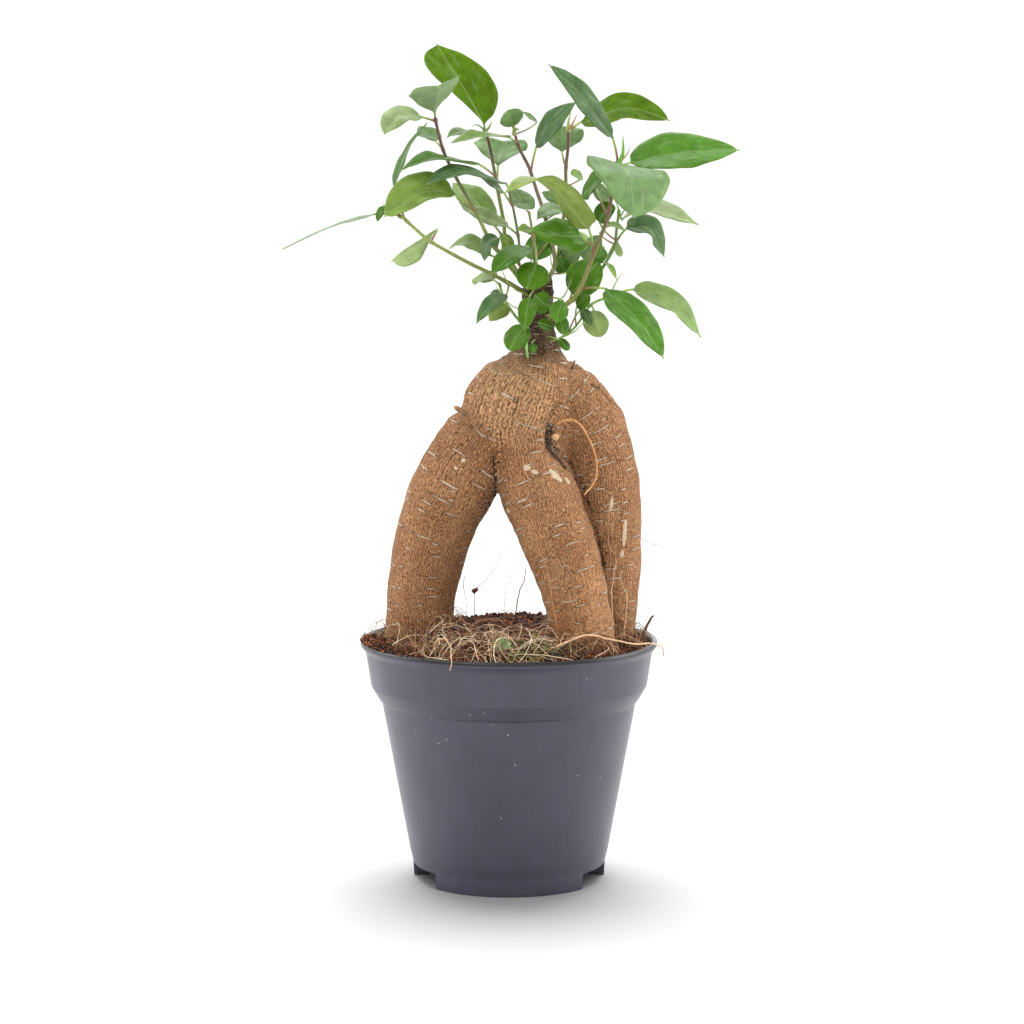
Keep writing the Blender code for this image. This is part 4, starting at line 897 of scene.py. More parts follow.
def side_foot(side, word, surface):
    """An upright rib under the floor: a rounded oblong, x = a sgn(cos t)|cos t|^0.25 and
    y = b sgn(sin t)|sin t|^0.25, rounded off at its foot and closed at both ends."""
    inner, outer, thickness = SIDE_FOOT
    steps = 40
    t = 2 * np.pi * np.arange(steps) / steps
    x = (outer - inner) / 2 * np.sign(np.cos(t)) * np.abs(np.cos(t)) ** 0.25
    y = thickness / 2 * np.sign(np.sin(t)) * np.abs(np.sin(t)) ** 0.25
    rows = np.array([(0.0, 0.02), (0.0, 0.45), (0.3, 0.66), (0.9, 0.85), (1.8, 0.96), (3.0, 1.0),
                     (FLOOR_UNDERSIDE + 0.3, 1.0)])
    z, scale = rows[:, :1], rows[:, 1:]
    centre = side * (inner + outer) / 2
    points = np.stack([centre + x * scale, y * scale, z + 0 * x], -1).reshape(-1, 3)
    sets = tube_faces(len(rows), steps, turned=False)
    mesh_piece(f"pot_foot_{word}", points, sets, [surface])


# Rootstock -----------------------------------------------------------------------------------------------


def line_distance(points, line):
    """The least distance from each point to a line of points in the same plane."""
    nearest = np.full(len(points), np.inf)
    for a, b in zip(line, line[1:]):
        t = np.clip(((points - a) @ (b - a)) / max((b - a) @ (b - a), 1e-9), 0, 1)
        nearest = np.minimum(nearest, np.linalg.norm(points - a - t[:, None] * (b - a), axis=1))
    return nearest


def limb_skin(path, sides=40):
    """A limb as a closed tube: rings of its own radius along its axis, drawn in over three rings at each end."""
    _, across, up = frames_along(path[None, :, :3], np.array((0.0, 1.0, 0.0)))
    across, up = across[0], up[0]
    along = unit(np.gradient(path[:, :3], axis=0))
    first = [(0, -0.5, 0.4), (0, -0.35, 0.75)]
    last = [(len(path) - 1, 0.15, 0.8), (len(path) - 1, 0.2, 0.4)]
    rows = np.array(first + [(k, 0.0, 1.0) for k in range(len(path))] + last)
    k = rows[:, 0].astype(int)
    radius = path[k, 3] * rows[:, 2]
    centre = path[k, :3] + along[k] * (rows[:, 1] * path[k, 3])[:, None]
    t = 2 * np.pi * np.arange(sides) / sides
    spokes = np.cos(t)[:, None] * across[k][:, None] + np.sin(t)[:, None] * up[k][:, None]
    return (centre[:, None] + radius[:, None, None] * spokes).reshape(-1, 3), tube_faces(len(rows), sides)


def limb_places(points, paths):
    """For each point and limb: how far out it is as a share of the limb's radius, how far along in millimetres,
    and the angle round it from the front."""
    outs, runs, turns = [], [], []
    for path in paths.values():
        axis = path[:, :3]
        run = np.concatenate([[0], np.cumsum(np.linalg.norm(np.diff(axis, axis=0), axis=1))])
        along = unit(np.gradient(axis, axis=0))
        right = unit(np.cross(along, FRONT))
        ahead = np.cross(right, along)
        nearest = np.empty(len(points), int)
        for start in range(0, len(points), 20000):
            some = points[start:start + 20000]
            gap = ((some[:, None] - axis[None]) ** 2).sum(-1)
            nearest[start:start + 20000] = gap.argmin(1)
        off = points - axis[nearest]
        lift = (off * along[nearest]).sum(-1)
        outs.append(np.linalg.norm(off, axis=1) / path[nearest, 3])
        runs.append(run[nearest] + lift)
        turns.append(np.arctan2((off * right[nearest]).sum(-1), (off * ahead[nearest]).sum(-1)))
    return np.stack(outs, 1), np.stack(runs, 1), np.stack(turns, 1)


def build_rootstock(surface):
    """The limbs are fused into one skin, whose points are then moved along their normals by lumps, flutes that
    run along the limbs, folds, and raised scars. The skin's map is the distance round and along the limb that each
    face belongs to. Its attributes say how much of each finish there is: fold for caught soil and painted shade,
    neck for old wood, scar, crown for pale cork, web for rootlets, and a sixth for the painted light (1) or painted
    shade (0) on the cork. Gives back the skin for the crumbs to lie on."""
    paths = {name: curve_through(limb, 8) for name, limb in LIMBS.items()}
    points, faces, first = [], [], 0
    for path in paths.values():
        skin, sets = limb_skin(path)
        points.append(skin)
        faces.append([s + first for s in sets])
        first += len(skin)
    sets = [np.concatenate([f[0] for f in faces]), *(s for f in faces for s in f[1:])]
    rough = mesh_piece("limbs", np.vstack(points), sets, [surface])
    remesh = rough.modifiers.new("fuse", "REMESH")
    remesh.mode, remesh.voxel_size = "VOXEL", BARK_VOXEL * MM
    smooth = rough.modifiers.new("smooth", "SMOOTH")
    smooth.factor, smooth.iterations = 0.5, 10
    fused = final_mesh(rough)
    bpy.data.objects.remove(rough)
    count = len(fused.vertices)
    co = read(fused.vertices, "co", 3).astype(float) / MM
    normal = read(fused.vertices, "normal", 3).astype(float)
    quads = read(fused.loops, "vertex_index", 1, np.int32).reshape(-1, 4)
    bpy.data.meshes.remove(fused)

    # Lumps of 9, 4.5 and 1.1 mm, and flutes 2.2 and 1.1 mm wide; the neck's are coarser and run up it
    out, run, turn = limb_places(co, paths)
    owner = out.argmin(1)
    relief = 0.45 * value_noise(co / 9, 1) + 0.3 * value_noise(co / 4.5, 2)
    stretched = co * np.array((1 / 2.2, 1 / 2.2, 1 / 9))
    relief += 0.25 * value_noise(stretched, 3) + 0.13 * value_noise(stretched * 2, 4)
    relief += 0.12 * value_noise(co / 1.1, 10)
    neck = smoothstep(206, 216, co[:, 2] + 3 * value_noise(co / 3.5, 8))
    relief += neck * (0.5 * value_noise(co / 2.2, 5) + 0.5 * value_noise(co * (0.8, 0.8, 0.12), 6))
    fold = np.zeros(count)
    for line, wide, depth, dark, all_round in FOLDS.values():
        line = curve_through(line, 8)
        near = line_distance(co[:, ::2], line[:, ::2])
        fall = np.exp(-((near / wide) ** 2))
        if not all_round:  # it fades out behind its line
            rising = line[line[:, 2].argsort()]
            fall = fall * (1 - smoothstep(2, 10, co[:, 1] - np.interp(co[:, 2], rising[:, 2], rising[:, 1])))
        relief -= depth * fall
        # The fold's darkness: caught soil and painted shade
        fold = np.maximum(fold, np.minimum(1, dark * fall * (1.4 + 0.6 * value_noise(co / 0.9, 12))))
    scar = np.zeros(count)
    for place, (wide, high), tilt in SCARS:
        cos, sin = math.cos(math.radians(tilt)), math.sin(math.radians(tilt))
        right, up = co[:, 0] - place[0], co[:, 2] - place[2]
        far = ((right * cos - up * sin) / wide) ** 2 + ((right * sin + up * cos) / high) ** 2
        edge = 0.35 * value_noise(co / 1.1, 9)
        scar = np.maximum(scar, (1 - smoothstep(0.7, 1.15, far + edge)) * (normal[:, 1] < 0))
    relief += 0.35 * scar
    web = np.where(owner == 0, 0.25, 1.0) * (1 - smoothstep(140, 165, co[:, 2]))
    # Painted light makes the cork lighter towards the foot of the front and right legs, and painted shade makes it
    # darker on the crown's left shoulder
    painted_light_on_legs = (1 - smoothstep(105, 165, co[:, 2])) * smoothstep(-24, -8, co[:, 0])
    painted_light_on_legs = painted_light_on_legs * (1 - 0.45 * smoothstep(32, 44, co[:, 0]))
    shoulder = smoothstep(158, 180, co[:, 2]) * (1 - smoothstep(-14, 0, co[:, 0]))
    painted_light_and_shade = 0.5 + 0.5 * painted_light_on_legs - 0.42 * shoulder
    co = co + normal * relief[:, None]

    crown_share = smoothstep(174, 190, co[:, 2]) * (1 - smoothstep(6, 20, np.abs(co[:, 0] - 2))) * (1 - neck)
    # The map: millimetres round and along each face's own limb, the limbs 200 mm apart
    limb = owner[quads[:, 0]][:, None]
    girth = np.array([np.mean(p[:, 3]) for p in paths.values()])
    angle = turn[quads, limb]
    angle = angle - 2 * np.pi * np.round((angle - angle[:, :1]) / (2 * np.pi))
    flat = np.stack([angle * girth[limb] + 200 * limb, run[quads, limb]], -1)
    values = {"fold": fold, "neck": neck, "scar": scar, "crown": crown_share, "web": web, "painted_light_and_shade": painted_light_and_shade}
    made = mesh_piece("rootstock_bark", co, [quads], [surface], values, ("limb", flat.reshape(-1, 2)))
    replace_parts(made, "rootstock")
    return BVHTree.FromPolygons(co.tolist(), quads.tolist())


# Shoots and leaves ---------------------------------------------------------------------------------------


def build_stem(name, surface):
    """A shoot: a tube along its route, whose radius tapers evenly and swells a little at each leaf."""
    route, start, end, low, high = STEMS[name]
    path = curve_through(route, 12)
    share = np.linspace(0, 1, len(path))
    radius = start + (end - start) * share
    for leaf in LEAVES.values():
        if leaf[0] == name:
            radius = radius + 0.22 * np.exp(-((path[:, 2] - leaf[1]) / 0.9) ** 2)
    radius = radius * (1 + 0.06 * value_noise(path / 2.3, 11))
    points, sets = tubes(path[None], radius[None], 12)
    tone = blend(low, high, np.repeat(smoothstep(0.25, 0.95, share), 12)[:, None])
    made = mesh_piece(f"shoot_{name[-1]}", points, sets, [surface], {"tone": tone})
    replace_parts(made, name)


def half_outline(u, peak, power):
    """One half of a blade: 0 at its base, 1 where it is widest and 0 at its tip, drawn out to a fine point.
    (u/p)^a ((1 - u)/(1 - p))^(a (1 - p)/p) has its peak at p."""
    drip = 0.07 * (1 - smoothstep(0.9, 1.0, u))
    t = np.clip(u / 0.96, 0, 1)
    body = (t / peak) ** power * ((1 - t) / (1 - peak)) ** (power * (1 - peak) / peak)
    return np.maximum(body, drip * (u > peak))


def stalk_foot(stem, height):
    """The point on the stem's axis where a stalk leaves at this height."""
    if stem == NECK:
        return np.array((*NECK_CENTRE, height), float)
    path = curve_through(STEMS[stem][0], 12)
    return path[np.abs(path[:, 2] - height).argmin()]


def turn_about(vectors, axes, angles):
    """Vectors turned about axes by angles: v cos a + (k x v) sin a + k (k . v)(1 - cos a)."""
    cos, sin = np.cos(angles)[:, None], np.sin(angles)[:, None]
    dot = (axes * vectors).sum(-1, keepdims=True)
    return vectors * cos + np.cross(axes, vectors) * sin + axes * dot * (1 - cos)


def build_leaf(name, entry, materials, seed):
    """One leaf, a closed skin of rings carried along its stalk and midrib. On the stalk a ring is a circle. On the
    blade it is a thin lens: at the share v of the half width w a point is at v w cos(fold) sideways and
    |v| w sin(fold) - droop w v^2 + ripple upwards, and half the thickness, times 1 - v^4, is added or taken away.
    The midrib stands out below. The blade's attribute is the distance from the midrib, the distance along it and
    |v|."""
    stem, height, rib, width, face, fold, tone, outline = entry
    right, left, sweep = OUTLINES[outline]
    foot = stalk_foot(stem, height)
    base = np.array(rib[0], float)
    ahead = unit(np.array(rib[1], float) - base)
    bend = foot + (base - foot) * 0.6 - ahead * np.linalg.norm(base - foot) * 0.12
    t = (np.arange(STALK_ROWS) / STALK_ROWS)[:, None]  # the stalk is a parabola that meets the blade's direction
    stalk = foot * (1 - t) ** 2 + bend * 2 * t * (1 - t) + base * t * t
    blade = curve_through(rib, 60)
    u = np.linspace(0, 1, BLADE_ROWS + 1)
    u = u - 0.05 * np.sin(2 * np.pi * u)  # rows closer together at both ends
    blade = blade[np.round(u * (len(blade) - 1)).astype(int)]
    centre = np.vstack([stalk, blade])
    along = unit(np.gradient(centre, axis=0))
    share = np.concatenate([np.zeros(STALK_ROWS), u])
    twist = np.radians(TWISTS.get(name, 0)) * (1 - share)
    turned = turn_about(np.tile(unit(face), (len(centre), 1)), along, twist)
    side = unit(np.cross(along, turned))
    up = np.cross(side, along)

    size = min(1.0, width / 12)
    stalk_radius = STALK_RADIUS * (0.55 + 0.45 * size)
    v = np.concatenate([np.linspace(-1, 1, BLADE_COLUMNS + 1), np.linspace(1, -1, BLADE_COLUMNS + 1)[1:-1]])
    upper = np.arange(len(v)) <= BLADE_COLUMNS
    sign = np.where(upper, 1.0, -1.0) * (np.abs(v) < 1)
    blade_now = smoothstep(0.0, 0.06, share)[:, None]
    angle = np.where(upper, np.pi / 2 * (1 - v), -np.pi / 2 * (1 - v))
    round_x, round_z = stalk_radius * np.cos(angle), stalk_radius * np.sin(angle)
    halves = [width / 2 * part * half_outline(share, peak, power) for part, peak, power in (right, left)]
    w = np.maximum(0.12, np.where(v > 0, halves[0][:, None], halves[1][:, None]))
    lift = np.radians(fold)
    phase = seed * 1.7 + (v > 0) * 2.1
    # Two ripples along each margin and a slow one of the whole blade
    ripple = 0.06 * w * v**2 * np.sin(share[:, None] * 11.0 + phase)
    ripple = ripple + 0.02 * w * np.abs(v) * np.sin(share[:, None] * 27.0 + phase * 3)
    ripple = ripple + 0.03 * width * np.sin(share[:, None] * 5.2 + seed) * blade_now
    flat_x = v * w * np.cos(lift)
    flat_z = np.abs(v) * w * np.sin(lift) - BLADE_DROOP * w * v**2 + ripple
    rib_below = (sign < 0) * MIDRIB_RISE * np.exp(-(v * w / 0.5) ** 2)
    flat_z = flat_z + size * (sign * BLADE_THICKNESS / 2 * (1 - v**4) - rib_below)
    x = round_x * (1 - blade_now) + flat_x * blade_now
    z = round_z * (1 - blade_now) + flat_z * blade_now
    on = sweep * np.abs(v) * w * blade_now
    points = centre[:, None] + side[:, None] * x[..., None] + up[:, None] * z[..., None]
    points = points + along[:, None] * on[..., None]

    ring, rows = len(v), len(centre)
    sets = tube_faces(rows, ring, turned=False)
    row, column = sets[0][:, 0] // ring, sets[0][:, 0] % ring
    which = np.where(row < STALK_ROWS, 2, np.where(column < BLADE_COLUMNS, 0, 1))  # stalk, upper side, underside
    which = np.concatenate([which, [2, 1]])  # and the two ends
    run = np.concatenate([[0], np.cumsum(np.linalg.norm(np.diff(centre, axis=0), axis=1))])
    spread = np.stack([x, np.broadcast_to(run[:, None], x.shape), np.abs(v) * blade_now], -1).reshape(-1, 3)
    own = np.random.default_rng(seed).uniform(0.9, 1.1)
    tip_light = 1 + 0.25 * (np.repeat(share, ring)[:, None] - 0.4)
    above, below = (colour(code, False) * own * tip_light for code in TONES[tone])
    mix = np.repeat(smoothstep(0.1, 0.9, np.minimum(1, np.arange(rows) / STALK_ROWS)), ring)[:, None]
    values = {"blade": spread, "upper": above, "under": below, "tone": blend("7a4a3c", "8aa84c", mix)}
    made = mesh_piece(f"{name}_blade", points.reshape(-1, 3), sets, materials, values, which=which)
    if name in LEAVES:
        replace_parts(made, name)


def build_strand(name, path, radius, code, material, sides=8, tip=0.5, wobble=0.0):
    """A thin round strand along a smooth path, its radius falling evenly to this share at its tip. It strays from
    the path by up to the wobble."""
    axis = curve_through(path, 10)
    axis = axis + wobble * np.stack([value_noise(axis / 2.2 + 17 * k, 60 + k) for k in range(3)], -1)
    share = np.linspace(0, 1, len(axis))
    radii = radius * (1 - (1 - tip) * share) * (1 + 0.1 * value_noise(axis / 1.7, 63))
    points, sets = tubes(axis[None], radii[None], sides)
    tone = np.repeat(colour(code, False)[None], len(points), axis=0)
    return mesh_piece(name, points, sets, [material], {"tone": tone})


# Soil and litter -----------------------------------------------------------------------------------------


def soil_height(x, y):
    """Height of the soil: it sinks from the centre to the rim by the cube of the share of the radius, with lumps
    of 7, 3 and 1.5 mm."""
    share = np.minimum(1.0, np.hypot(x, y) / BAND_TOP[0])
    flat = np.stack([x, y, 0 * x], -1)
    lump = 0.8 * value_noise(flat / 7, 21) + 0.7 * value_noise(flat / 3, 22) + 0.35 * value_noise(flat / 1.5, 23)
    fall = (SOIL_RIM_HEIGHT - SOIL_CENTRE_HEIGHT) * share**SOIL_CROWN_POWER
    return SOIL_CENTRE_HEIGHT + fall + lump * (1 - 0.6 * share**6)


def build_soil(surface):
    """A disc of rings out to the pot's wall at the soil's height, with a skirt that follows the pot's inside down
    to its floor and a flat underside."""
    rings, sectors = 90, 240
    t = 2 * np.pi * np.arange(sectors) / sectors
    r = (SOIL_EDGE - 0.15) * np.linspace(0.004, 1, rings) ** 0.9
    x, y = around(r[:, None], t)
    top = np.stack([x, y, soil_height(x, y)], -1)
    floor_top = FLOOR_UNDERSIDE + FLOOR_THICKNESS + 0.1
    wall = np.array([BAND_FOOT, LEDGE_FOOT, (BASE_RADIUS + 0.8, floor_top), (WALL + 0.35, floor_top)])
    low = np.stack([*around(wall[:, :1] - WALL - 0.2, t), wall[:, 1:] + 0 * t], -1)
    points = np.concatenate([top, low]).reshape(-1, 3)
    tone = blend("1f130c", "5c311a", np.clip(value_noise(points / 1.3, 25)[:, None] * 0.5 + 0.5, 0, 1) ** 1.5)
    sets = tube_faces(rings + len(wall), sectors)
    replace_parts(mesh_piece("soil_body", points, sets, [surface], {"tone": tone}), "soil")


def bare_ground(x, y):
    """Whether a spot is free of the rootstock's legs."""
    free = np.hypot(x, y) < SOIL_EDGE - 1
    for limb in ("left_leg", "front_leg", "right_leg"):
        foot = LIMBS[limb][1]
        free &= np.hypot(x - foot[0], y - foot[1]) > foot[3] + 0.2
    return free


def tones_between(codes, count, rng):
    """A random one of these colours for each piece, a little lighter or darker."""
    table = np.array([colour(c, False) for c in codes])
    return table[rng.integers(0, len(codes), count)] * rng.uniform(0.7, 1.25, (count, 1))


def crumbs(name, places, sizes, codes, surface, rng, shade=1.0):
    """Many crumbs in one mesh: balls of 4 rings of 6 points, r = 1 + 0.35 x a random number at each point, squashed
    by a random amount along each axis. shade scales their tones."""
    count = len(places)
    tones = tones_between(codes, count, rng) * shade
    rings, sectors = 4, 6
    phi = np.linspace(0.4, np.pi - 0.4, rings)[:, None]
    theta = 2 * np.pi * np.arange(sectors) / sectors
    ball = np.stack([np.sin(phi) * np.cos(theta), np.sin(phi) * np.sin(theta), np.cos(phi) + 0 * theta], -1)
    wild = 1 + 0.35 * rng.uniform(-1, 1, (count, rings, sectors, 1))
    squash = rng.uniform(0.5, 1.3, (count, 1, 1, 3))
    points = places[:, None, None] + sizes[:, None, None, None] * ball * wild * squash
    values = {"tone": np.repeat(tones, rings * sectors, axis=0)}
    mesh_piece(name, points.reshape(-1, 3), tube_faces(rings, sectors, count), [surface], values)


def build_crumbs(surface):
    """Crumbs of coco soil all over the bare ground, darker towards the back, and finer ones heaped at the rim."""
    rng = np.random.default_rng(31)
    codes = ("3a2114", "5c2c16", "7a3a1c", "241710", "120c08", "8f4a22", "a05a30", "30190e")
    radius = SOIL_EDGE * np.sqrt(rng.uniform(0, 1, CRUMB_COUNT))
    x, y = around(radius, rng.uniform(0, 2 * np.pi, CRUMB_COUNT))
    keep = bare_ground(x, y)
    x, y = x[keep], y[keep]
    size = rng.uniform(0.25, 0.62, len(x)) * rng.choice((1, 1, 1, 1.6), len(x))
    places = np.stack([x, y, soil_height(x, y) + size * 0.5], -1)
    crumbs("soil_crumbs", places, size, codes, surface, rng, (1 - 0.45 * smoothstep(0, 30, y))[:, None])

    counts, *columns = zip(*HEAPS)
    middle, spread, reach, edge, top = (np.repeat(column, counts) for column in columns)
    turn = middle + rng.normal(0, 1, len(middle)) * spread
    radius = edge * (1 - np.abs(rng.normal(0, 1, len(turn))) * reach)
    x, y = around(radius, turn)
    top = top * np.exp(-(((turn - middle) / 0.3) ** 2))
    rise = top * smoothstep(0.78, 0.93, radius / RIM_RADIUS) * (1 - smoothstep(0.97, 1.01, radius / RIM_RADIUS))
    ground = np.where(radius > SOIL_EDGE - 0.5, RIM_TOP, soil_height(x, y))
    size = rng.uniform(0.18, 0.5, len(x))
    places = np.stack([x, y, ground + rise * rng.uniform(0, 1, len(x)) ** 0.5 + 0.2], -1)
    keep = bare_ground(x, y) | (radius > SOIL_EDGE - 2)
    crumbs("heaped_crumbs", places[keep], size[keep], codes, surface, rng)


def build_debris(surface, skin):
    """Dark crumbs caught in the folds of the bark: each lies where a line from the front meets the bark."""
    rng = np.random.default_rng(37)
    spots = []
    for name, (count, spread) in FOLD_CRUMBS.items():
        line = curve_through(FOLDS[name][0], 20)
        some = line[rng.integers(0, len(line) * 3 // 4, count)]  # its first three quarters
        spots.append(some + rng.normal(0, spread, (count, 3)) * (0.6, 0, 0.8))
    spots.append(rng.normal(0, 1, (90, 3)) * (1.7, 0, 3.0) + (-8.5, -14, 154.5))  # a tuft in the arch
    hits = []
    for x, _, z in np.vstack(spots).tolist():
        hit = skin.ray_cast(Vector((x, -80, z)), Vector((0, 1, 0)), 90)[0]
        if hit is not None:
            hits.append(hit[:])
    places = np.array(hits)
    size = rng.uniform(0.12, 0.42, len(places))
    codes = ("2b1d13", "3a271a", "1a130e", "5a3c26", "8a7460", "b9a58c")
    crumbs("fold_crumbs", places, size, codes, surface, rng)


def fibre_paths(centres, headings, lengths, lifts, bows, rng, steps=9):
    """Fibres lying on the soil: a point at t from -0.5 to 0.5 is at centre + heading L t + sideways bow
    (4t^2 - 1) + a wave, at the soil's height plus lift (1 - 4t^2) and a small unevenness."""
    t = np.linspace(-0.5, 0.5, steps)[None, :]
    heading = np.stack([np.cos(headings), np.sin(headings)], -1)
    sideways = np.stack([-heading[:, 1], heading[:, 0]], -1)
    wave = rng.uniform(-1, 1, (len(centres), 1)) * np.sin(t * rng.uniform(5, 13, (len(centres), 1)))
    off = bows[:, None] * (4 * t**2 - 1) + wave * lengths[:, None] * 0.08
    xy = centres[:, None] + heading[:, None] * (lengths[:, None] * t)[..., None] + sideways[:, None] * off[..., None]
    far = np.hypot(xy[..., 0], xy[..., 1])
    xy = xy * np.minimum(1, (SOIL_EDGE + 0.8) / np.maximum(far, 1e-6))[..., None]
    slope = rng.uniform(-1.6, 1.6, (len(centres), 1)) * t
    z = soil_height(xy[..., 0], xy[..., 1]) + lifts[:, None] * (1 - 4 * t**2) + 0.5 + slope
    z = z + rng.uniform(0, 1.3, (len(centres), 1))
    return np.concatenate([xy, z[..., None]], -1)


def scatter(count, mean_turn, spread, near, rng):
    """Spots on the bare ground round a direction from the pot's axis."""
    turn = rng.normal(mean_turn, spread, count)
    radius = SOIL_EDGE * rng.uniform(near, 0.99, count)
    spots = np.stack(around(radius, turn), -1)
    return spots[bare_ground(*spots.T)]


def fibres(name, paths, radius, taper, codes, surface, rng):
    """Thin round fibres in one mesh: each has a radius between the two, which runs from the first share to the
    second along it."""
    count, rows = paths.shape[:2]
    radii = rng.uniform(*radius, count)[:, None] * np.linspace(*taper, rows)
    points, sets = tubes(paths, radii, FIBRE_SIDES)
    tones = np.repeat(tones_between(codes, count, rng), rows * FIBRE_SIDES, axis=0)
    mesh_piece(name, points, sets, [surface], {"tone": tones})


def fibre_mat(name, spots, look, surface, rng):
    """Fibres that lie over the spots, all in one mesh. The look is as in MATS."""
    length, lift, radius, bow, codes = look
    count = len(spots)
    paths = fibre_paths(spots, rng.uniform(0, np.pi, count), rng.uniform(*length, count),
                        np.minimum(rng.exponential(lift, count), 5.5), rng.normal(0, bow, count), rng)
    fibres(name, paths, radius, (1.15, 0.5), codes, surface, rng)


def build_litter(surface, moss):
    """Dark rootlets low down, tan coir and pale straw over them, thickest at the front and the left, a tangle
    round the foot of each leg, and a few green strands of moss."""
    rng = np.random.default_rng(41)
    for name in ("dark_rootlets", "coir_fibres", "pale_straw"):
        where, *look = MATS[name]
        spots = scatter(*where, rng)
        if name == "coir_fibres":  # only one in eight of them at the front right
            bare = (spots[:, 0] > 10) & (spots[:, 1] < -30)
            spots = spots[~bare | (rng.uniform(0, 1, len(spots)) < 0.12)]
        fibre_mat(name, spots, look, surface, rng)
    for name, (count, middle) in FOOT_FIBRES.items():
        foot = LIMBS[name][1]
        turn = rng.normal(middle, 0.75, count)
        reach = foot[3] + rng.uniform(0.2, 4.5, count)
        spots = np.stack(around(reach, turn), -1) + foot[:2]
        spots = spots[np.hypot(*spots.T) < SOIL_EDGE - 1]
        fibre_mat(f"{name}_foot_fibres", spots, FOOT_FIBRE_LOOK, surface, rng)
    where, *look = MATS["moss_strands"]
    fibre_mat("moss_strands", scatter(*where, rng), look, moss, rng)


def build_scrap(surface):
    """A withered scrap of leaf lying on the litter: a disc drawn from a square,
    (u (1 - v^2/2)^0.5, v (1 - u^2/2)^0.5), leant back and crumpled by two sines."""
    u, v = (a.ravel() for a in np.meshgrid(np.linspace(-1, 1, 17), np.linspace(-1, 1, 13), indexing="xy"))
    across, rise = 4.2 * u * np.sqrt(1 - v * v / 2), 3.1 * v * np.sqrt(1 - u * u / 2)
    crumple = 0.5 * np.sin(2.6 * u + 1.7 * v) + 0.3 * np.sin(5.1 * v - 2.0 * u)
    points = SCRAP_PLACE + np.stack([across, 0.6 * rise + crumple, 0.75 * rise + 0.4 * crumple], -1)
    tone = colour("7d9a62", False) * (0.8 + 0.3 * value_noise(points / 1.6, 57)[:, None])
    sets = [ring_faces(13, 17, closed=False)]
    made = mesh_piece("leaf_scrap", points, sets, [surface], {"tone": tone})
    made.modifiers.new("thickness", "SOLIDIFY").thickness = 0.25 * MM


def build_stray_hairs(surface):
    """Hairs that stand up from the soil's edge, most of them at the left and the right: each leans outwards, then
    bends over. A hair as tall as h is at the height h (t - 0.35 t^2.5) at t from 0 to 1."""
    rng = np.random.default_rng(43)
    left, right = HAIR_COUNT // 2, HAIR_COUNT // 4
    turn = np.concatenate([rng.normal(-1.1, 0.35, left), rng.normal(0.95, 0.3, right),
                           rng.normal(-0.2, 0.8, HAIR_COUNT - left - right)])
    radius = SOIL_EDGE * rng.uniform(0.8, 0.99, HAIR_COUNT)
    t = np.linspace(0, 1, 8)[None, :]
    tall = rng.uniform(3, 15, HAIR_COUNT)[:, None]
    out = rng.normal(2, 3.5, HAIR_COUNT)[:, None] * t**1.6
    swing = rng.normal(0, 4.5, HAIR_COUNT)[:, None] * t**1.8 / 57  # millimetres along the rim, 57 mm from the axis
    x, y = around(np.minimum(radius[:, None] + out, 63.0), turn[:, None] + swing)
    z = soil_height(x[:, :1], y[:, :1]) + tall * (t - 0.35 * t**2.5)
    codes = ("7d5c3c", "5a3f2a", "a9825a", "c49a66")
    fibres("stray_hairs", np.stack([x, y, z], -1), (0.06, 0.12), (1.1, 0.4), codes, surface, rng)


# Strands placed one by one: path, radius, colour
STRANDS = {
    "loop_over_rim": (((-29, -44, 100), (-28, -46, 104), (-25, -50, 105.5), (-22.5, -56, 103), (-22, -60.5, 98.5),
                       (-22.5, -60.9, 95)), 0.28, "d0ab7e"),
    "arch_hair": (((-18, -10, 125), (-18, -12, 119), (-17, -14, 114), (-17, -16, 106)), 0.16, "5c4a3c"),
    "arch_bud_stalk": (((-14, 10, 101), (-14, 8, 112), (-13, 6, 117), (-9, 6, 121), (-5, 4, 127), (-2, 2, 133)),
                       0.16, "8a7a68"),
    "arch_curl": (((-2, 10, 101), (-2, 9, 111), (-1, 8, 117), (1, 4, 123), (3, 0, 128), (6, -2, 130)), 0.13,
                  "a8937c"),
    "arch_stick": (((2, 6, 101), (4, 4, 115), (6, 2, 121), (7, 0, 126)), 0.28, "7a4f30"),
    "hair_right": (((52, -2, 139), (57, -4, 137), (61, -6, 136), (65, -8, 134)), 0.13, "6a5648"),
    "hair_right_low": (((53, 0, 99), (56, 2, 106), (58, 4, 111), (60, 5, 113)), 0.12, "8a6a4c"),
    "woody_bit": (((54, 4, 98), (57, 6, 104), (59, 6, 106)), 0.7, "5c3a24"),
    "pale_root_a": (((42, -14, 99), (41, -14, 115), (41.5, -13, 123), (43, -12, 131)), 0.33, "c9a47c"),
    "pale_root_b": (((46, -12, 99), (47, -12, 115), (45.5, -11, 121), (44, -10, 125)), 0.28, "c49c70"),
    "rootlet_c": (((33, -24, 101), (36, -23, 112), (34, -23, 124), (31, -24, 133)), 0.2, "a8733f"),
    "rootlet_d": (((20, -33, 102), (17, -33, 118), (14, -32, 134), (9, -30, 140)), 0.2, "b07a45"),
    "rootlet_e": (((27, -34, 102), (29, -34, 120), (24, -33, 134)), 0.18, "a8733f"),
    "neck_twig_a": (((8, -5, 236), (1, -10, 240), (-3, -13, 246)), 0.35, "8aa050"),
    "neck_twig_b": (((14, -4, 238), (17, -8, 246), (16, -10, 255)), 0.32, "6f8a3c"),
    "neck_twig_c": (((12, 2, 238), (9, 0, 250), (11, -2, 262)), 0.32, "7a8a48"),
    "neck_twig_d": (((15, -4, 232), (22, -6, 236), (25, -6, 243)), 0.35, "7f9a48"),
    "neck_twig_e": (((8, -4, 229), (0, -6, 233), (-5, -6, 240)), 0.3, "9ab06a"),
    "neck_twig_f": (((16, -5, 218), (24, -9, 221), (30, -9, 226)), 0.35, "7fa04c"),
}


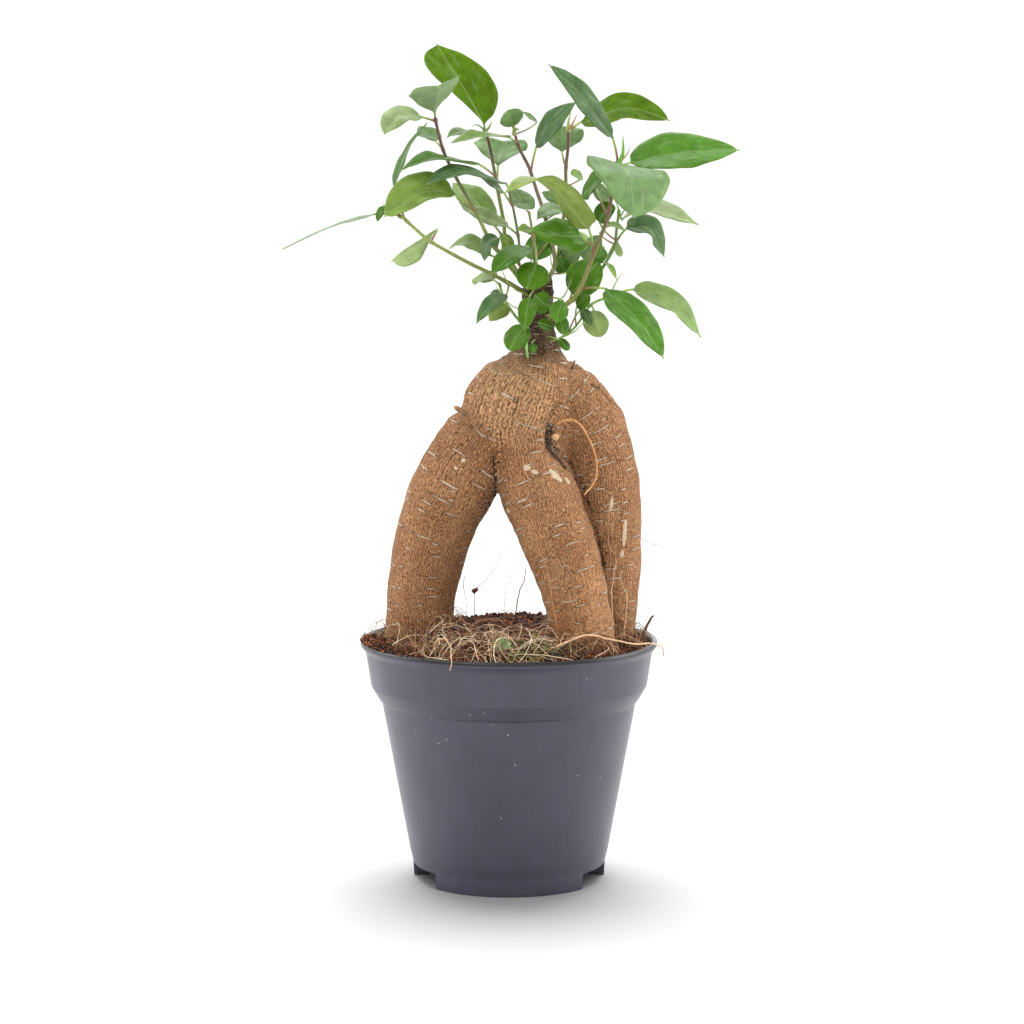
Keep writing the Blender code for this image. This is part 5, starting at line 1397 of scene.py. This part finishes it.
# Stubs: foot, tip, radius and the colours of the sides and of the cut end
STUBS = {
    "nub_left": ((-15.5, -11, 188.5), (-21.8, -14, 192.8), 1.0, "8a6a4c", "b59a78"),
    "nub_right": ((25, -4, 207), (26.3, -5, 210.5), 0.42, "5f4531", "8a6848"),
    "arch_bud": ((-14.7, 7, 115.5), (-12.8, 6.5, 117), 0.85, "6a3c26", "93603a"),
    "cut_root_end": ((19, -8, 181), (18.2, -15.5, 180.5), 1.6, "9c7450", "c49a70"),
}


def stub(name, foot, tip, radius, code, end_code, surface):
    """A short stub of a cut root or twig, closed by a rounded end of another colour."""
    t = np.array((0, 0.5, 0.85, 0.97, 1.0))
    swell = np.array((1.25, 1.05, 1.0, 0.8, 0.3))
    path = np.array(foot, float) + (np.array(tip, float) - foot) * t[:, None]
    points, sets = tubes(path[None], (radius * swell)[None], 16)
    points = points + 0.12 * np.stack([value_noise(points / 0.9 + 5 * k, 70 + k) for k in range(3)], -1)
    tone = np.where(np.repeat(t > 0.9, 16)[:, None], colour(end_code, False), colour(code, False))
    mesh_piece(name, points, sets, [surface], {"tone": tone})


# Scene ---------------------------------------------------------------------------------------------------

# Far lamps: the way to each, its strength and how wide it is in degrees
SUNS = {
    "back_sun": ((0, 1, 1.7), 1.4, 34),
    "key_sun": ((-0.7, -1, 0.8), 1.35, 40),
    "front_sun": ((0.35, -1, 0.05), 0.95, 60),
}
FLOOR_SUN = ((0, 0.35, 1), 5.0, 50)
PANELS = {"left_panel": ((-1.2, 0.2, 0.45), 11), "right_panel": ((1.2, 0.1, 0.45), 15)}  # place in metres, watts
PANEL_SIZE = 0.9
PANEL_AIM = (0, 0, 0.15)
FLOOR_HALF = 3000
CAMERA_PLACE = (1.2, -1138, 281.7)
CAMERA_TILT = 6.65  # degrees down
LENS = 100


def panel(name, place, watts):
    """A square soft lamp that faces the middle of the plant."""
    data = bpy.data.lights.new(name, "AREA")
    data.shape, data.size, data.energy = "SQUARE", PANEL_SIZE, watts
    made = placed(name, data)
    made.location = place
    made.rotation_euler = (Vector(PANEL_AIM) - Vector(place)).to_track_quat("-Z", "Y").to_euler()
    return made


def light_only(lamp, floor, state):
    """Makes a lamp light the floor alone, or all but the floor."""
    group = bpy.data.collections.new(lamp.name + "_receivers")
    group.objects.link(floor)
    group.collection_objects[0].light_linking.link_state = state
    lamp.light_linking.receiver_collection = group


def sun(name, towards, strength, spread):
    """A far soft lamp in this direction, as wide as the angle in degrees."""
    data = bpy.data.lights.new(name, "SUN")
    data.energy, data.angle = strength, math.radians(spread)
    made = placed(name, data)
    made.rotation_euler = Vector(towards).to_track_quat("Z", "Y").to_euler()
    return made


def build_studio():
    """A pale paper sweep and a white surround. The object is lit by far soft lamps from behind, from the upper left
    and from low in front, and by a panel on either side. A lamp of its own lights the floor, so that the paper turns
    white away from the pot and keeps a grey shadow under it."""
    half = FLOOR_HALF * MM
    corners = [(-half, -half, 0), (half, -half, 0), (half, half, 0), (-half, half, 0)]
    mesh = bpy.data.meshes.new("floor")
    mesh.from_pydata(corners, [], [(0, 1, 2, 3)])
    mesh.materials.append(paper_floor())
    floor = placed("floor", mesh)
    world = bpy.data.worlds.new("studio")
    world.use_nodes = True
    tree = world.node_tree
    way = add(tree, "SeparateXYZ", {0: add(tree, "TexCoord").outputs["Generated"]})
    above = add(tree, "MapRange", {0: way.outputs[2], 1: 0.05, 2: 0.8, 3: 0.22, 4: 1.05},
                interpolation_type="SMOOTHSTEP")
    behind = add(tree, "MapRange", {0: way.outputs[1], 1: 0.3, 2: 0.95, 3: 0.0, 4: 1.8})
    light = add(tree, "Math", {0: above, 1: behind}, operation="ADD")
    seen = add(tree, "LightPath").outputs["Is Camera Ray"]
    strength = add(tree, "Mix", {0: seen, 2: light, 3: 1.1}).outputs[0]
    tree.links.new(strength, tree.nodes["Background"].inputs["Strength"])
    tree.nodes["Background"].inputs["Color"].default_value = colour("ffffff")
    bpy.context.scene.world = world
    for name, (towards, strength, spread) in SUNS.items():
        light_only(sun(name, towards, strength, spread), floor, "EXCLUDE")
    for name, (place, watts) in PANELS.items():
        light_only(panel(name, place, watts), floor, "EXCLUDE")
    light_only(sun("floor_sun", *FLOOR_SUN), floor, "INCLUDE")
    bpy.context.scene.view_settings.view_transform = "Standard"


def build_camera():
    """A long lens in front of the pot, a little above it and tilted down."""
    data = bpy.data.cameras.new("camera")
    data.lens, data.sensor_width = LENS, 36
    data.clip_start, data.clip_end = 0.05, 20
    made = placed("camera", data)
    made.location = np.array(CAMERA_PLACE) * MM
    made.rotation_euler = (math.radians(90 - CAMERA_TILT), 0, 0)
    bpy.context.scene.camera = made


def main():
    """Makes the finishes, then the studio and every piece."""
    plastic = polypropylene()
    bark = ficus_bark()
    upper = leaf_side("leaf_upper_skin", "upper", (0.27, 0.03, 0.22), -0.5, (0.3, 0.44))
    under = leaf_side("leaf_underside", "under", (0.2, 0.05, 0.4), 0.6, (0.45, 0.6))
    shoot = toned("young_shoot_bark", 0.5, 900.0, 0.1)
    earth = toned("coco_peat", 0.95, 700.0, 0.4, 0.45)
    fibre = toned("dry_coir_fibre", 0.7, 900.0, 0.05)
    root = toned("dry_root_skin", 0.75, 1200.0, 0.15, 0.3)

    build_camera()
    build_studio()
    build_pot(plastic)
    build_soil(earth)
    build_crumbs(earth)
    build_litter(fibre, shoot)
    build_stray_hairs(fibre)
    build_scrap(shoot)
    skin = build_rootstock(bark)
    build_debris(earth, skin)
    for name in STEMS:
        build_stem(name, shoot)
    for seed, (name, entry) in enumerate({**LEAVES, **SMALL_LEAVES}.items()):
        build_leaf(name, entry, [upper, under, shoot], seed)
    for k, (path, radius, code) in enumerate(BUDS):
        build_strand(f"bud_{k + 1}", path, radius, code, shoot, sides=10, tip=0.08)
    for name, (path, radius, code) in STRANDS.items():
        build_strand(name, path, radius, code, shoot if name.startswith("neck") else fibre, wobble=0.35)
    aerial = build_strand("aerial_root_skin", AERIAL_ROOT, 0.55, "b98350", root, sides=10, tip=0.7, wobble=0.2)
    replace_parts(aerial, "aerial_root")
    loose = build_strand("loose_root_skin", LOOSE_ROOT, 0.42, "d6ae84", root, sides=10, tip=0.6, wobble=0.15)
    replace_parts(loose, "loose_root_right")
    for name, stump in STUBS.items():
        stub(name, *stump, root)


main()
